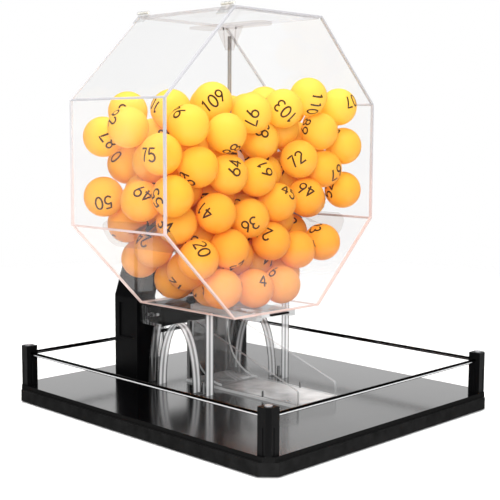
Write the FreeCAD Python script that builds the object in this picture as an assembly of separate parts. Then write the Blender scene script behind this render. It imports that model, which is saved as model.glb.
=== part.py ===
import FreeCAD, Part
import math
import os
import random

# Hand-cranked ball draw machine: a clear octagonal drum on a black stand and base.
# Frame: +Z up, the drum's clear front faces -Y, the crank is at the back, origin at the
# middle of the footprint at table height. All lengths are millimetres, angles degrees.

V = FreeCAD.Vector
X_AXIS = V(1, 0, 0)
Y_AXIS = V(0, 1, 0)
Z_AXIS = V(0, 0, 1)

# ---------------------------------------------------------------- driving dimensions
# Base: a painted board under a gloss plate, on four rubber feet
base_width = 335.0
base_depth = 372.0
board_thickness = 11.5
board_chamfer = 12.5
plate_thickness = 5.0
plate_inset = 2.5
foot_diameter = 20.0
foot_standout = 1.5
foot_recess = 1.0
foot_margin = 27.0

# Corner posts and the rods between them
post_side = 13.0
post_height = 41.0
post_margin = 11.0
post_groove = 0.8
post_cap_diameter = 7.0
post_cap_height = 1.2
post_cap_stem = 3.5
rod_diameter = 4.0
rod_drop = 8.5
rod_seat = 4.5

# Drum: eight mitred side panels between two octagonal end panels
drum_across_flats = 300.0
drum_depth = 144.0
drum_clear_height = 84.0
panel = 3.0
lid_gap = 0.4
outlet_diameter = 46.0

# Lid hinges
hinge_barrel_diameter = 4.2
hinge_pin_diameter = 2.0
hinge_leaf = 1.0
hinge_leaf_reach = 11.0
hinge_knuckle = 5.4
hinge_end_margin = 1.2
hinge_gap = 0.3

# Stand behind the drum
stand_rear_margin = 43.5
leg_width = 28.0
leg_depth = 37.5
leg_spread = 105.0
leg_straight_height = 89.0
leg_top_width = 22.0
leg_bend_radius = 6.0
leg_panel_recess = 1.5
leg_panel_margin = 7.0
leg_panel_height = 37.0
crossbar_height = 25.0
crossbar_level = 54.0
crossbar_inset = 3.75
crossbar_rounding = 1.5
head_radius = 24.3
head_drop = 22.0
head_flange = 3.5
head_flange_drop = 47.0
drum_screw_circle = 34.0

# Shaft, bearings and stirrer
shaft_diameter = 8.0
shaft_chamfer = 0.5
bearing_outer = 14.0
bearing_flange_diameter = 22.0
bearing_flange = 2.0
bearing_length = 20.0
collar_diameter = 16.0
collar_length = 8.0
collar_rounding = 0.6
hub_diameter = 26.0
hub_length = 22.0
hub_rounding = 2.0
stirrer_rod_diameter = 4.0
rod_end_margin = 10.0
rod_root_margin = 1.5
blade_clearance = 5.0
blade_thickness = 2.5
blade_width = 30.0
blade_length = 105.0
blade_corner = 12.0
socket_length = 24.0
socket_root_diameter = 10.0
socket_tip_diameter = 15.0
socket_fin_reach = 20.0
socket_fin = 1.6

# Crank
crank_radius = 65.0
crank_arm_width = 16.0
crank_arm_thickness = 6.0
crank_boss_diameter = 18.0
crank_boss_length = 10.0
knob_diameter = 22.0
knob_neck_diameter = 17.0
knob_neck = 4.0
knob_bevel = 2.0
knob_length = 27.0
knob_pin_diameter = 5.0
knob_head_diameter = 8.5
knob_head_height = 2.0

# Clear side plates under the drum
side_plate = 12.0
side_plate_spread = 112.0
side_plate_setback = 42.0
front_foot_width = 19.0
arch_width = 54.0
arch_height = 68.0
rear_foot_width = 16.0
rear_foot_lean = 9.0
rear_foot_bow = 2.0
arm_height = 22.0
arm_corner = 3.0
bracket = 2.0
bracket_flange = 19.0
bracket_height = 16.0
bracket_drop = 1.0
bracket_screw_margin = 5.0

# Ball chute
chute_spread = 56.0
chute_wall = 3.0
chute_floor = 2.5
chute_floor_ledge = 1.5
chute_reach = 53.0
chute_setback = 39.0
chute_lip_height = 16.5
chute_slope = 0.34
chute_level_run = 12.0
chute_corner = 4.0
slide_sheet = 2.5
slide_radius = 46.0
slide_margin = 4.0
slide_top_drop = 4.0

# Outlet gate
gate_width = 48.0
gate_thickness = 3.0
gate_cover = 2.0
gate_corner = 2.0
gate_travel = 48.0
gate_pull_width = 26.0
gate_pull_height = 2.0
gate_pull_depth = 3.0
gate_pull_rounding = 0.8
guide_web = 4.0
guide_lip = 3.0

# Balls
ball_diameter = 40.0
ball_wall = 0.4
ball_fill = 0.373
ball_gap = 0.5
ball_seed = 6
settle_steps = 140
settle_passes = 6
ease_passes = 1500

# Screws: shank and head diameters, head heights
screw_small = 3.0
screw_large = 5.0
screw_fine = 2.0
head_ratio = 1.9
head_height_ratio = 0.65
screw_grip = 12.0
screw_head_depth = 1.0

# Clearances
running_clearance = 0.05
seat_clearance = 0.05
moving_gap = 0.3
blind_room = 0.5
screw_end_room = 1.0
cut_over = 1.0

# ---------------------------------------------------------------- derived places
board_bottom = foot_standout
board_top = board_bottom + board_thickness
plate_top = board_top + plate_thickness
post_top = plate_top + post_height
post_x = base_width / 2 - post_margin
post_y = base_depth / 2 - post_margin
rod_level = post_top - rod_drop

drum_bottom = plate_top + drum_clear_height
apothem = drum_across_flats / 2
axis_z = drum_bottom + apothem
drum_top = axis_z + apothem
leg_rear_y = base_depth / 2 - stand_rear_margin
leg_front_y = leg_rear_y - leg_depth
drum_rear_y = leg_front_y
drum_front_y = drum_rear_y - drum_depth
inner_front_y = drum_front_y + panel
inner_rear_y = drum_rear_y - panel
mid_y = (drum_front_y + drum_rear_y) / 2
half_side = apothem * math.tan(math.pi / 8)
blade_radius = apothem - panel - blade_clearance

leg_outer_x = leg_spread / 2 + leg_width / 2
leg_inner_x = leg_spread / 2 - leg_width / 2
leg_bend_z = plate_top + leg_straight_height
head_bottom = axis_z - head_drop
flange_rear_y = leg_rear_y + head_flange
crossbar_bottom = plate_top + crossbar_level

shaft_radius = shaft_diameter / 2
shaft_front_y = mid_y - hub_length / 2
front_flange_y = inner_rear_y - bearing_flange
rear_flange_y = flange_rear_y + bearing_flange
crank_front_y = rear_flange_y + moving_gap
crank_rear_y = crank_front_y + crank_boss_length
crank_grub_y = (crank_front_y + crank_arm_thickness + crank_rear_y) / 2
knob_front_y = crank_front_y + crank_arm_thickness + moving_gap
collar_front_y = front_flange_y - moving_gap - collar_length

plate_x = side_plate_spread / 2
side_plate_front_y = drum_front_y + side_plate_setback
arch_front_y = side_plate_front_y + front_foot_width
chute_x = chute_spread / 2
chute_base = plate_top + chute_floor
chute_front_y = drum_front_y - chute_reach
chute_rear_y = drum_rear_y - chute_setback
slide_rear_y = chute_rear_y - slide_margin
gate_top = drum_bottom - moving_gap
gate_bottom = gate_top - gate_thickness
gate_rear_y = mid_y + outlet_diameter / 2 + gate_cover

drum_room = 8 * math.tan(math.pi / 8) * (apothem - panel) ** 2 * (drum_depth - 2 * panel)
ball_count = round(ball_fill * drum_room / (math.pi * ball_diameter ** 3 / 6))


# ---------------------------------------------------------------- basic shapes
def box(x0, x1, y0, y1, z0, z1):
    """Block between two corners."""
    return Part.makeBox(x1 - x0, y1 - y0, z1 - z0, V(x0, y0, z0))


def rod(start, direction, radius, length):
    """Cylinder from a point along a direction."""
    return Part.makeCylinder(radius, length, start, direction)


def ring(start, direction, outer, inner, length):
    """Tube from a point along a direction."""
    return rod(start, direction, outer, length).cut(rod(start, direction, inner, length))


def prism(points, sweep):
    """Closed straight-sided outline swept along a vector."""
    return Part.Face(Part.makePolygon(points + points[:1])).extrude(sweep)


def outline_xz(pairs, y0, y1):
    """Outline given as (x, z) pairs, from y0 to y1."""
    return prism([V(x, y0, z) for x, z in pairs], V(0, y1 - y0, 0))


def outline_yz(pairs, x0, x1):
    """Outline given as (y, z) pairs, from x0 to x1."""
    return prism([V(x0, y, z) for y, z in pairs], V(x1 - x0, 0, 0))


def mirrored_x(shape):
    """Copy on the other side of the machine's middle plane."""
    return shape.mirror(V(0, 0, 0), X_AXIS)


def round_edges(shape, direction, radius, keep=None):
    """Fillet the straight edges that run along a direction."""
    edges = []
    for edge in shape.Edges:
        if edge.Curve.TypeId != "Part::GeomLine":
            continue
        if abs(abs(edge.tangentAt(edge.FirstParameter).dot(direction)) - 1) > 1e-6:
            continue
        if keep is None or keep(edge.CenterOfMass):
            edges.append(edge)
    return shape.makeFillet(radius, edges)


def screw(seat, direction, size, length):
    """Cylinder-head screw: the head stands on the seat against the direction."""
    head_height = size * head_height_ratio
    head_radius_here = size * head_ratio / 2
    head = rod(seat, direction * -1, head_radius_here, head_height)
    socket = rod(seat - direction * head_height, direction, size * 0.4, head_height / 2)
    return head.cut(socket).fuse(rod(seat, direction, size / 2, length)).removeSplitter()


def screw_hole(seat, direction, size, length):
    """Clearance for a screw's shank and, behind its seat, for its head."""
    shank = rod(seat, direction, size / 2 + seat_clearance, length + seat_clearance)
    head_radius_here = size * head_ratio / 2 + 2 * seat_clearance
    return shank.fuse(rod(seat, direction * -1, head_radius_here, 3 * size))


def solids(shapes):
    """Separate solids that share one node."""
    return Part.makeCompound(shapes)


def radial(angle, distance, y=None):
    """Point at an angle and distance from the shaft's axis."""
    a = math.radians(angle)
    y = mid_y if y is None else y
    return V(distance * math.cos(a), y, axis_z + distance * math.sin(a))


def radial_direction(angle):
    """Unit vector that points away from the shaft's axis."""
    a = math.radians(angle)
    return V(math.cos(a), 0, math.sin(a))


# ---------------------------------------------------------------- screw places
def corners(x, y):
    """The four places (+-x, +-y)."""
    return [(sx * x, sy * y) for sx in (-1, 1) for sy in (-1, 1)]


base_screw_seat = board_bottom + screw_large * head_height_ratio + screw_head_depth
small_screw_seat = board_bottom + screw_small * head_height_ratio + screw_head_depth
fine_screw_seat = board_bottom + screw_fine * head_height_ratio + screw_head_depth


def leg_screw_places():
    """Two screws up into each leg."""
    step = leg_depth / 4
    middle = (leg_front_y + leg_rear_y) / 2
    return [(sx * leg_spread / 2, middle + sy * step) for sx in (-1, 1) for sy in (-1, 1)]


def side_plate_screw_places():
    """One screw up into each foot of the two side plates."""
    front = (side_plate_front_y + arch_front_y) / 2
    rear = arch_front_y + arch_width + (rear_foot_y() - arch_front_y - arch_width) / 2
    return [(sx * plate_x, y) for sx in (-1, 1) for y in (front, rear)]


def chute_screw_places():
    """Two screws up into each chute wall."""
    run = chute_rear_y - chute_front_y
    return [(sx * chute_x, chute_front_y + run * part) for sx in (-1, 1) for part in (0.3, 0.9)]


def base_cuts():
    """Every hole through the board and the gloss plate."""
    cuts = []
    up = plate_top - board_bottom
    for x, y in corners(post_x, post_y):
        cuts.append(screw_hole(V(x, y, base_screw_seat), Z_AXIS, screw_large, up))
    for x, y in leg_screw_places():
        cuts.append(screw_hole(V(x, y, base_screw_seat), Z_AXIS, screw_large, up))
    for x, y in side_plate_screw_places():
        cuts.append(screw_hole(V(x, y, small_screw_seat), Z_AXIS, screw_small, up))
    for x, y in chute_screw_places():
        cuts.append(screw_hole(V(x, y, fine_screw_seat), Z_AXIS, screw_fine, up))
    return cuts


# ---------------------------------------------------------------- base
def chamfered_slab(half_x, half_y, corner_line, z0, z1):
    """Rectangle with its corners cut where |x| + |y| passes corner_line."""
    cx = corner_line - half_y
    cy = corner_line - half_x
    pairs = [(half_x, cy), (cx, half_y), (-cx, half_y), (-half_x, cy),
             (-half_x, -cy), (-cx, -half_y), (cx, -half_y), (half_x, -cy)]
    return prism([V(x, y, z0) for x, y in pairs], V(0, 0, z1 - z0))


def corner_line():
    """Sum of |x| and |y| along the cut corners, shared by board, plate and posts."""
    return base_width / 2 + base_depth / 2 - board_chamfer


def foot_places():
    return corners(base_width / 2 - foot_margin, base_depth / 2 - foot_margin)


def base_board():
    board = chamfered_slab(base_width / 2, base_depth / 2, corner_line(), board_bottom, board_top)
    cuts = base_cuts()
    for x, y in foot_places():
        cuts.append(rod(V(x, y, board_bottom), Z_AXIS, foot_diameter / 2 + seat_clearance, foot_recess))
    return board.cut(Part.makeCompound(cuts))


def base_plate():
    half_x = base_width / 2 - plate_inset
    half_y = base_depth / 2 - plate_inset
    plate = chamfered_slab(half_x, half_y, corner_line(), board_top, plate_top)
    return plate.cut(Part.makeCompound(base_cuts()))


def rubber_feet():
    feet = []
    for x, y in foot_places():
        foot = rod(V(x, y, 0), Z_AXIS, foot_diameter / 2, foot_standout + foot_recess)
        low = [e for e in foot.Edges if abs(e.CenterOfMass.z) < 1e-6]
        feet.append(foot.makeFillet(foot_standout / 2, low))
    return solids(feet)


# ---------------------------------------------------------------- posts and rods
def corner_post(sx, sy):
    """Square post with a cut outer corner, grooves and blind holes for two rods."""
    half = post_side / 2
    x, y = sx * post_x, sy * post_y
    post = box(x - half, x + half, y - half, y + half, plate_top, post_top)
    cut = post_x + post_y + 2 * half - corner_line()
    tip = [(0, 0), (cut, 0), (0, cut)]
    corner = prism([V(sx * (post_x + half - a), sy * (post_y + half - b), plate_top) for a, b in tip],
                   V(0, 0, post_height))
    post = post.cut(corner)
    for gx, gy in ((sx * half, 0), (0, sy * half), (-sx * half, 0), (0, -sy * half)):
        post = post.cut(rod(V(x + gx, y + gy, plate_top), Z_AXIS, post_groove, post_height - 2 * rod_drop))
    hole = rod_diameter / 2 + seat_clearance
    for seat, way in ((V(x - sx * (half - rod_seat), y, rod_level), X_AXIS * -sx),
                      (V(x, y - sy * (half - rod_seat), rod_level), Y_AXIS * -sy)):
        post = post.cut(rod(seat, way, hole, rod_seat + cut_over))
    post = post.cut(screw_hole(V(x, y, plate_top), Z_AXIS, screw_large, screw_grip))
    return post.cut(rod(V(x, y, post_top), Z_AXIS * -1, post_cap_diameter / 4 + seat_clearance,
                        post_cap_stem + blind_room))


def post_caps():
    caps = []
    for x, y in corners(post_x, post_y):
        cap = rod(V(x, y, post_top), Z_AXIS, post_cap_diameter / 2, post_cap_height)
        top = [e for e in cap.Edges if e.CenterOfMass.z > post_top + post_cap_height - 1e-6]
        cap = cap.makeFillet(post_cap_height / 2, top)
        stem = rod(V(x, y, post_top - post_cap_stem), Z_AXIS, post_cap_diameter / 4,
                   post_cap_stem + post_cap_height / 2)
        caps.append(cap.fuse(stem).removeSplitter())
    return solids(caps)


def guard_rod(along_x, side):
    """Rod between two posts, seated in both."""
    reach = (post_x if along_x else post_y) - post_side / 2 + rod_seat - seat_clearance
    if along_x:
        return rod(V(-reach, side * post_y, rod_level), X_AXIS, rod_diameter / 2, 2 * reach)
    return rod(V(side * post_x, -reach, rod_level), Y_AXIS, rod_diameter / 2, 2 * reach)


def base_screws():
    """Screws from below into the posts and the legs."""
    length = plate_top - base_screw_seat + screw_grip
    places = corners(post_x, post_y) + leg_screw_places()
    return solids([screw(V(x, y, base_screw_seat), Z_AXIS, screw_large, length) for x, y in places])


# ---------------------------------------------------------------- stand
def leg_outline():
    """Right leg seen from the front: upright, then leaning in to the head."""
    top_outer = head_radius
    top_inner = head_radius - leg_top_width
    inner_bend = leg_inner_x + (leg_width - leg_top_width) / 2
    return [(leg_inner_x, plate_top), (leg_outer_x, plate_top), (leg_outer_x, leg_bend_z),
            (top_outer, head_bottom), (top_inner, head_bottom), (inner_bend, leg_bend_z),
            (leg_inner_x, leg_bend_z - leg_straight_height / 8)]


def leg_right():
    leg = outline_xz(leg_outline(), leg_front_y, leg_rear_y)
    middle = (leg_inner_x + leg_outer_x) / 2
    leg = round_edges(leg, Y_AXIS, leg_bend_radius, lambda c: abs(c.z - leg_bend_z) < 1 and c.x > middle)
    recess_top = leg_bend_z - leg_panel_margin
    recess = box(leg_outer_x - leg_panel_recess, leg_outer_x + cut_over, leg_front_y + leg_panel_margin,
                 leg_rear_y - leg_panel_margin, recess_top - leg_panel_height, recess_top)
    leg = leg.cut(recess)
    cuts = [screw_hole(V(x, y, plate_top), Z_AXIS, screw_large, screw_grip)
            for x, y in leg_screw_places() if x > 0]
    cuts += [screw_hole(p, d, screw_small, screw_grip) for p, d in leg_side_screws() if p.x > 0]
    return leg.cut(Part.makeCompound(cuts))


def head_flange_places():
    """Right-hand screws through the head's flange into the leg."""
    low = head_bottom - head_flange_drop / 3
    lower = head_bottom - head_flange_drop * 2 / 3
    return [V(leg_middle_x(z), flange_rear_y, z) for z in (low, lower)]


def leg_middle_x(z):
    """Middle of the leaning stretch of the right leg at a height."""
    top = head_radius - leg_top_width / 2
    bend = (leg_inner_x + (leg_width - leg_top_width) / 2 + leg_outer_x) / 2
    share = (head_bottom - z) / (head_bottom - leg_bend_z)
    return top + (bend - top) * share


def bracket_level():
    return drum_bottom - arm_height / 2 - bracket_drop


def bracket_leg_screw():
    """Seat of the screw that fixes the right bracket to the leg."""
    x = plate_x - side_plate / 2 - bracket - (bracket_flange - bracket) / 2
    x = max(x, leg_inner_x + screw_small)
    return V(x, leg_front_y - bracket, bracket_level())


def leg_side_screws():
    """Screws that enter the legs from behind or in front: (seat, direction)."""
    places = [(p, Y_AXIS * -1) for p in head_flange_places()]
    places.append((bracket_leg_screw(), Y_AXIS))
    return places + [(V(-p.x, p.y, p.z), d) for p, d in places]


def crossbar():
    """Bar between the legs."""
    z1 = crossbar_bottom + crossbar_height
    bar = box(-leg_inner_x, leg_inner_x, leg_front_y, leg_rear_y - crossbar_inset, crossbar_bottom, z1)
    return round_edges(bar, X_AXIS, crossbar_rounding)


def bearing_head():
    """Round-topped block over the legs, with a rear flange that laps them."""
    half = head_radius
    block = box(-half, half, leg_front_y, flange_rear_y, head_bottom, axis_z)
    dome = rod(V(0, leg_front_y, axis_z), Y_AXIS, half, flange_rear_y - leg_front_y)
    block = block.fuse(dome.common(box(-half, half, leg_front_y, flange_rear_y, axis_z, axis_z + half)))
    low = head_bottom - head_flange_drop
    wide = leg_middle_x(low) + leg_top_width / 2
    flange = outline_xz([(-wide, low), (wide, low), (half, head_bottom), (-half, head_bottom)],
                        leg_rear_y, flange_rear_y)
    head = block.fuse(flange).removeSplitter()
    bore = bearing_outer / 2 + seat_clearance
    cuts = [rod(V(0, leg_front_y, axis_z), Y_AXIS, bore, flange_rear_y - leg_front_y)]
    cuts += [screw_hole(p, d, screw_small, screw_grip) for p, d in leg_side_screws()[:2]]
    cuts += [screw_hole(p, d, screw_small, screw_grip) for p, d in leg_side_screws()[3:5]]
    cuts += [screw_hole(p, Y_AXIS, screw_small, screw_grip) for p in drum_screw_places()]
    return head.cut(Part.makeCompound(cuts))


def drum_screw_places():
    """Seats of the screws that hold the drum's back to the head."""
    return [radial(a, drum_screw_circle / 2, inner_rear_y) for a in (45, 135, 225, 315)]


def stand_screws():
    """Screws through the head's flange and the brackets into the legs."""
    return solids([screw(p, d, screw_small, screw_grip) for p, d in leg_side_screws()])


def drum_screws():
    return solids([screw(p, Y_AXIS, screw_small, screw_grip) for p in drum_screw_places()])


def flanged_bush(flange_y, direction):
    """Sleeve with a flange; the flange face lies at flange_y and the sleeve runs on."""
    start = V(0, flange_y, axis_z)
    bush = rod(start, direction, bearing_flange_diameter / 2, bearing_flange)
    bush = bush.fuse(rod(start, direction, bearing_outer / 2, bearing_flange + bearing_length))
    bore = rod(start, direction, shaft_radius + running_clearance, bearing_flange + bearing_length)
    return bush.cut(bore).removeSplitter()


# ---------------------------------------------------------------- drum
def octagon_pairs(distance):
    """Corners of the octagon whose flats lie at a distance from the axis, as (x, z)."""
    corner = distance / math.cos(math.pi / 8)
    angles = [math.pi / 8 + k * math.pi / 4 for k in range(8)]
    return [(corner * math.cos(a), axis_z + corner * math.sin(a)) for a in angles]


def end_panel(y0):
    return outline_xz(octagon_pairs(apothem), y0, y0 + panel)


def drum_rear_panel():
    cuts = [rod(V(0, inner_rear_y, axis_z), Y_AXIS, bearing_outer / 2 + seat_clearance, panel)]
    hole = screw_small / 2 + seat_clearance
    cuts += [rod(p, Y_AXIS, hole, panel) for p in drum_screw_places()]
    return end_panel(inner_rear_y).cut(Part.makeCompound(cuts))


def side_panel(angle, gap=0.0):
    """Mitred panel whose outward normal is at an angle; a gap pulls its edges in."""
    out_half = half_side - gap
    in_half = out_half - panel * math.tan(math.pi / 8)
    normal = radial_direction(angle)
    along = radial_direction(angle + 90)
    points = []
    for distance, half in ((apothem, out_half), (apothem, -out_half),
                           (apothem - panel, -in_half), (apothem - panel, in_half)):
        points.append(V(0, inner_front_y + gap, axis_z) + normal * distance + along * half)
    return prism(points, V(0, drum_depth - 2 * panel - 2 * gap, 0))


def drum_bottom_panel():
    hole = rod(V(0, mid_y, drum_bottom), Z_AXIS, outlet_diameter / 2, panel)
    return side_panel(270).cut(hole)


# ---------------------------------------------------------------- lid hinges
def hinge_axis():
    """Centre of the hinge pins, outside the drum's top left edge, as (x, z)."""
    reach = (hinge_barrel_diameter / 2 + hinge_gap) / math.cos(math.pi / 8)
    a = math.radians(112.5)
    return -half_side + reach * math.cos(a), drum_top + reach * math.sin(a)


def hinge_starts():
    """Front ends of the two hinges."""
    length = 3 * hinge_knuckle + 2 * hinge_gap
    return [drum_front_y + hinge_end_margin, drum_rear_y - hinge_end_margin - length]


def hinge_piece(y0, length, knuckles):
    """Leaf on the lid with its knuckles, given as (start, length) pairs."""
    x, z = hinge_axis()
    leaf_start = -half_side + hinge_gap
    leaf = box(leaf_start, leaf_start + hinge_leaf_reach, y0, y0 + length, drum_top, drum_top + hinge_leaf)
    webs = [rod(V(x, y, z), Y_AXIS, hinge_barrel_diameter / 2, d) for y, d in knuckles]
    whole = leaf.multiFuse(webs)
    bore = rod(V(x, y0 - cut_over, z), Y_AXIS, hinge_pin_diameter / 2 + running_clearance,
               length + 2 * cut_over)
    return whole.cut(bore).removeSplitter()


def hinge_moving(y0):
    start = y0 + hinge_knuckle + hinge_gap
    return hinge_piece(start, hinge_knuckle, [(start, hinge_knuckle)])


def hinge_fixed(y0):
    """Two outer knuckles on a leaf that lies on the upper left panel."""
    length = 3 * hinge_knuckle + 2 * hinge_gap
    second = y0 + length - hinge_knuckle
    pieces = []
    for start in (y0, second):
        pieces.append(hinge_piece(start, hinge_knuckle, [(start, hinge_knuckle)]))
    whole = pieces[0].fuse(pieces[1])
    a = math.radians(112.5)
    mirror_normal = V(-math.sin(a), 0, math.cos(a))
    whole = whole.mirror(V(-half_side, 0, drum_top), mirror_normal)
    tangent = radial_direction(225)
    normal = radial_direction(135)
    corner = V(-half_side, y0, drum_top) + tangent * (hinge_leaf_reach / 2 + hinge_gap)
    far = corner + tangent * hinge_leaf_reach / 2
    strip = prism([corner, far, far + normal * hinge_leaf, corner + normal * hinge_leaf], V(0, length, 0))
    return whole.fuse(strip).removeSplitter()


def lid_hinge_pins():
    x, z = hinge_axis()
    length = 3 * hinge_knuckle + 2 * hinge_gap
    return solids([rod(V(x, y, z), Y_AXIS, hinge_pin_diameter / 2, length) for y in hinge_starts()])


# ---------------------------------------------------------------- shaft and stirrer
arm_angles = (90, 210, 330)
hub_grub_angle = 30
rod_tip = blade_radius - blade_thickness - rod_end_margin
rod_root = shaft_radius + rod_root_margin
fin_low = blade_radius - blade_thickness - socket_length * 0.9
fin_high = blade_radius - blade_thickness * 0.75
fin_root = socket_root_diameter * 0.7


def stirrer_shaft():
    shaft = rod(V(0, shaft_front_y, axis_z), Y_AXIS, shaft_radius, crank_rear_y - shaft_front_y)
    return shaft.makeChamfer(shaft_chamfer, [e for e in shaft.Edges if e.Curve.TypeId == "Part::GeomCircle"])


def bored_round(y0, length, outer, fillet):
    """Round body on the shaft with softened rims."""
    body = rod(V(0, y0, axis_z), Y_AXIS, outer / 2, length)
    body = body.makeFillet(fillet, [e for e in body.Edges if e.Curve.TypeId == "Part::GeomCircle"])
    return body.cut(rod(V(0, y0, axis_z), Y_AXIS, shaft_radius + seat_clearance, length))


def grub_hole(angle, y, outer):
    """Radial hole for a grub screw, open to the bore."""
    start = radial(angle, shaft_radius - cut_over, y)
    return rod(start, radial_direction(angle), screw_small / 2 + seat_clearance, outer / 2)


def grub_screw(angle, y, outer):
    start = radial(angle, shaft_radius + seat_clearance, y)
    length = outer / 2 - shaft_radius - screw_end_room
    body = rod(start, radial_direction(angle), screw_small / 2, length)
    tip = radial(angle, shaft_radius + length, y)
    return body.cut(rod(tip, radial_direction(angle), screw_small / 5, length))


def stirrer_hub():
    hub = bored_round(shaft_front_y, hub_length, hub_diameter, hub_rounding)
    cuts = [grub_hole(hub_grub_angle, mid_y, hub_diameter)]
    hole = stirrer_rod_diameter / 2 + seat_clearance
    for angle in arm_angles:
        cuts.append(rod(radial(angle, rod_root), radial_direction(angle), hole, hub_diameter / 2))
    return hub.cut(Part.makeCompound(cuts))


def shaft_collar():
    collar = bored_round(collar_front_y, collar_length, collar_diameter, collar_rounding)
    return collar.cut(grub_hole(hub_grub_angle, collar_front_y + collar_length / 2, collar_diameter))


def stirrer_rods():
    rods = []
    for angle in arm_angles:
        start = radial(angle, rod_root)
        rods.append(rod(start, radial_direction(angle), stirrer_rod_diameter / 2, rod_tip - rod_root))
    return solids(rods)


def grub_screws():
    return solids([grub_screw(hub_grub_angle, mid_y, hub_diameter),
                   grub_screw(hub_grub_angle, collar_front_y + collar_length / 2, collar_diameter),
                   grub_screw(hub_grub_angle, crank_grub_y, crank_boss_diameter)])


def paddle_up():
    """Paddle of the upward arm: curved blade, two fins and a socket for the rod."""
    inner = blade_radius - blade_thickness
    blade = ring(V(0, mid_y - blade_length / 2, axis_z), Y_AXIS, blade_radius, inner, blade_length)
    half = blade_width / 2
    window = box(-half, half, mid_y - blade_length / 2, mid_y + blade_length / 2,
                 axis_z, axis_z + blade_radius + cut_over)
    window = round_edges(window, Z_AXIS, min(blade_corner, half - 0.5))
    blade = blade.common(window)
    root = V(0, mid_y, axis_z + inner - socket_length)
    socket = Part.makeCone(socket_root_diameter / 2, socket_tip_diameter / 2,
                           socket_length + cut_over, root, Z_AXIS)
    low = axis_z + fin_low
    high = axis_z + fin_high
    fin = outline_yz([(mid_y - fin_root, low), (mid_y + fin_root, low),
                      (mid_y + socket_fin_reach, high), (mid_y - socket_fin_reach, high)],
                     -socket_fin / 2, socket_fin / 2)
    paddle = blade.fuse(socket).fuse(fin)
    hole = stirrer_rod_diameter / 2 + seat_clearance
    bore = rod(V(0, mid_y, root.z), Z_AXIS, hole, rod_tip - (inner - socket_length) + seat_clearance)
    return paddle.cut(bore).removeSplitter()


def paddle(angle):
    return paddle_up().rotate(V(0, mid_y, axis_z), Y_AXIS, 90 - angle)


# ---------------------------------------------------------------- crank
knob_z = axis_z - crank_radius


def crank_arm():
    """Arm with a boss on the shaft, hanging straight down."""
    half = crank_arm_width / 2
    pin_hole = knob_pin_diameter / 2 + seat_clearance
    arm = box(-half, half, crank_front_y, crank_front_y + crank_arm_thickness, knob_z, axis_z)
    arm = arm.fuse(rod(V(0, crank_front_y, knob_z), Y_AXIS, half, crank_arm_thickness))
    arm = arm.fuse(rod(V(0, crank_front_y, axis_z), Y_AXIS, crank_boss_diameter / 2, crank_boss_length))
    cuts = [rod(V(0, crank_front_y, axis_z), Y_AXIS, shaft_radius + seat_clearance, crank_boss_length),
            grub_hole(hub_grub_angle, crank_grub_y, crank_boss_diameter),
            rod(V(0, crank_front_y, knob_z), Y_AXIS, pin_hole, crank_arm_thickness)]
    return arm.removeSplitter().cut(Part.makeCompound(cuts))


def knob_pin():
    """Shoulder screw that carries the knob."""
    length = knob_front_y - crank_front_y + knob_length + moving_gap
    pin = rod(V(0, crank_front_y, knob_z), Y_AXIS, knob_pin_diameter / 2, length)
    head = rod(V(0, crank_front_y + length, knob_z), Y_AXIS, knob_head_diameter / 2, knob_head_height)
    return pin.fuse(head).removeSplitter()


def crank_knob():
    """Bellied grip that turns on the pin."""
    y0 = knob_front_y
    y1 = knob_front_y + knob_length
    bore = knob_pin_diameter / 2 + running_clearance

    def at(radius, y):
        return V(radius, y, knob_z)

    neck = knob_neck_diameter / 2
    widest = at(knob_diameter / 2, (y0 + y1) / 2)
    belly = Part.Arc(at(neck, y0 + knob_neck), widest, at(neck, y1 - knob_bevel))
    edges = [Part.makeLine(at(bore, y0), at(neck, y0)),
             Part.makeLine(at(neck, y0), at(neck, y0 + knob_neck)),
             belly.toShape(),
             Part.makeLine(at(neck, y1 - knob_bevel), at(neck - knob_bevel, y1)),
             Part.makeLine(at(neck - knob_bevel, y1), at(bore, y1)),
             Part.makeLine(at(bore, y1), at(bore, y0))]
    return Part.Face(Part.Wire(edges)).revolve(V(0, 0, knob_z), Y_AXIS, 360)


# ---------------------------------------------------------------- side plates
def rear_foot_y():
    """Outer face of a side plate's rear foot."""
    return arch_front_y + arch_width + rear_foot_width


def side_plate_right():
    """Clear plate with an arch, a rear arm to the stand and two feet."""
    x0, x1 = plate_x - side_plate / 2, plate_x + side_plate / 2
    foot = rear_foot_y()
    arm_low = drum_bottom - arm_height
    shoulder = foot - rear_foot_lean
    bulge = V(x0, (foot + shoulder) / 2 + rear_foot_bow, (plate_top + arm_low) / 2)
    points = [V(x0, shoulder, arm_low), V(x0, leg_front_y - arm_corner, arm_low),
              V(x0, leg_front_y, arm_low + arm_corner),
              V(x0, leg_front_y, drum_bottom), V(x0, side_plate_front_y, drum_bottom),
              V(x0, side_plate_front_y, plate_top), V(x0, foot, plate_top)]
    edges = [Part.makeLine(a, b) for a, b in zip(points, points[1:])]
    edges.append(Part.Arc(points[-1], bulge, points[0]).toShape())
    plate = Part.Face(Part.Wire(edges)).extrude(V(side_plate, 0, 0))
    arch = Part.Ellipse(V(0, arch_height, 0), V(arch_width / 2, 0, 0), V(0, 0, 0)).toShape()
    arch = Part.Face(Part.Wire([arch])).extrude(V(0, 0, side_plate + 2 * cut_over))
    arch.Placement = FreeCAD.Placement(V(x0 - cut_over, arch_front_y + arch_width / 2, plate_top),
                                       FreeCAD.Rotation(Y_AXIS, Z_AXIS, X_AXIS, "XYZ"))
    cuts = [arch]
    cuts += [screw_hole(V(x, y, plate_top), Z_AXIS, screw_small, screw_grip)
             for x, y in side_plate_screw_places() if x > 0]
    through = bracket + side_plate
    hole = screw_small / 2 + seat_clearance
    cuts += [rod(p, d, hole, through) for p, d in bracket_plate_screws() if p.x > 0]
    return plate.cut(Part.makeCompound(cuts))


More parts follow.
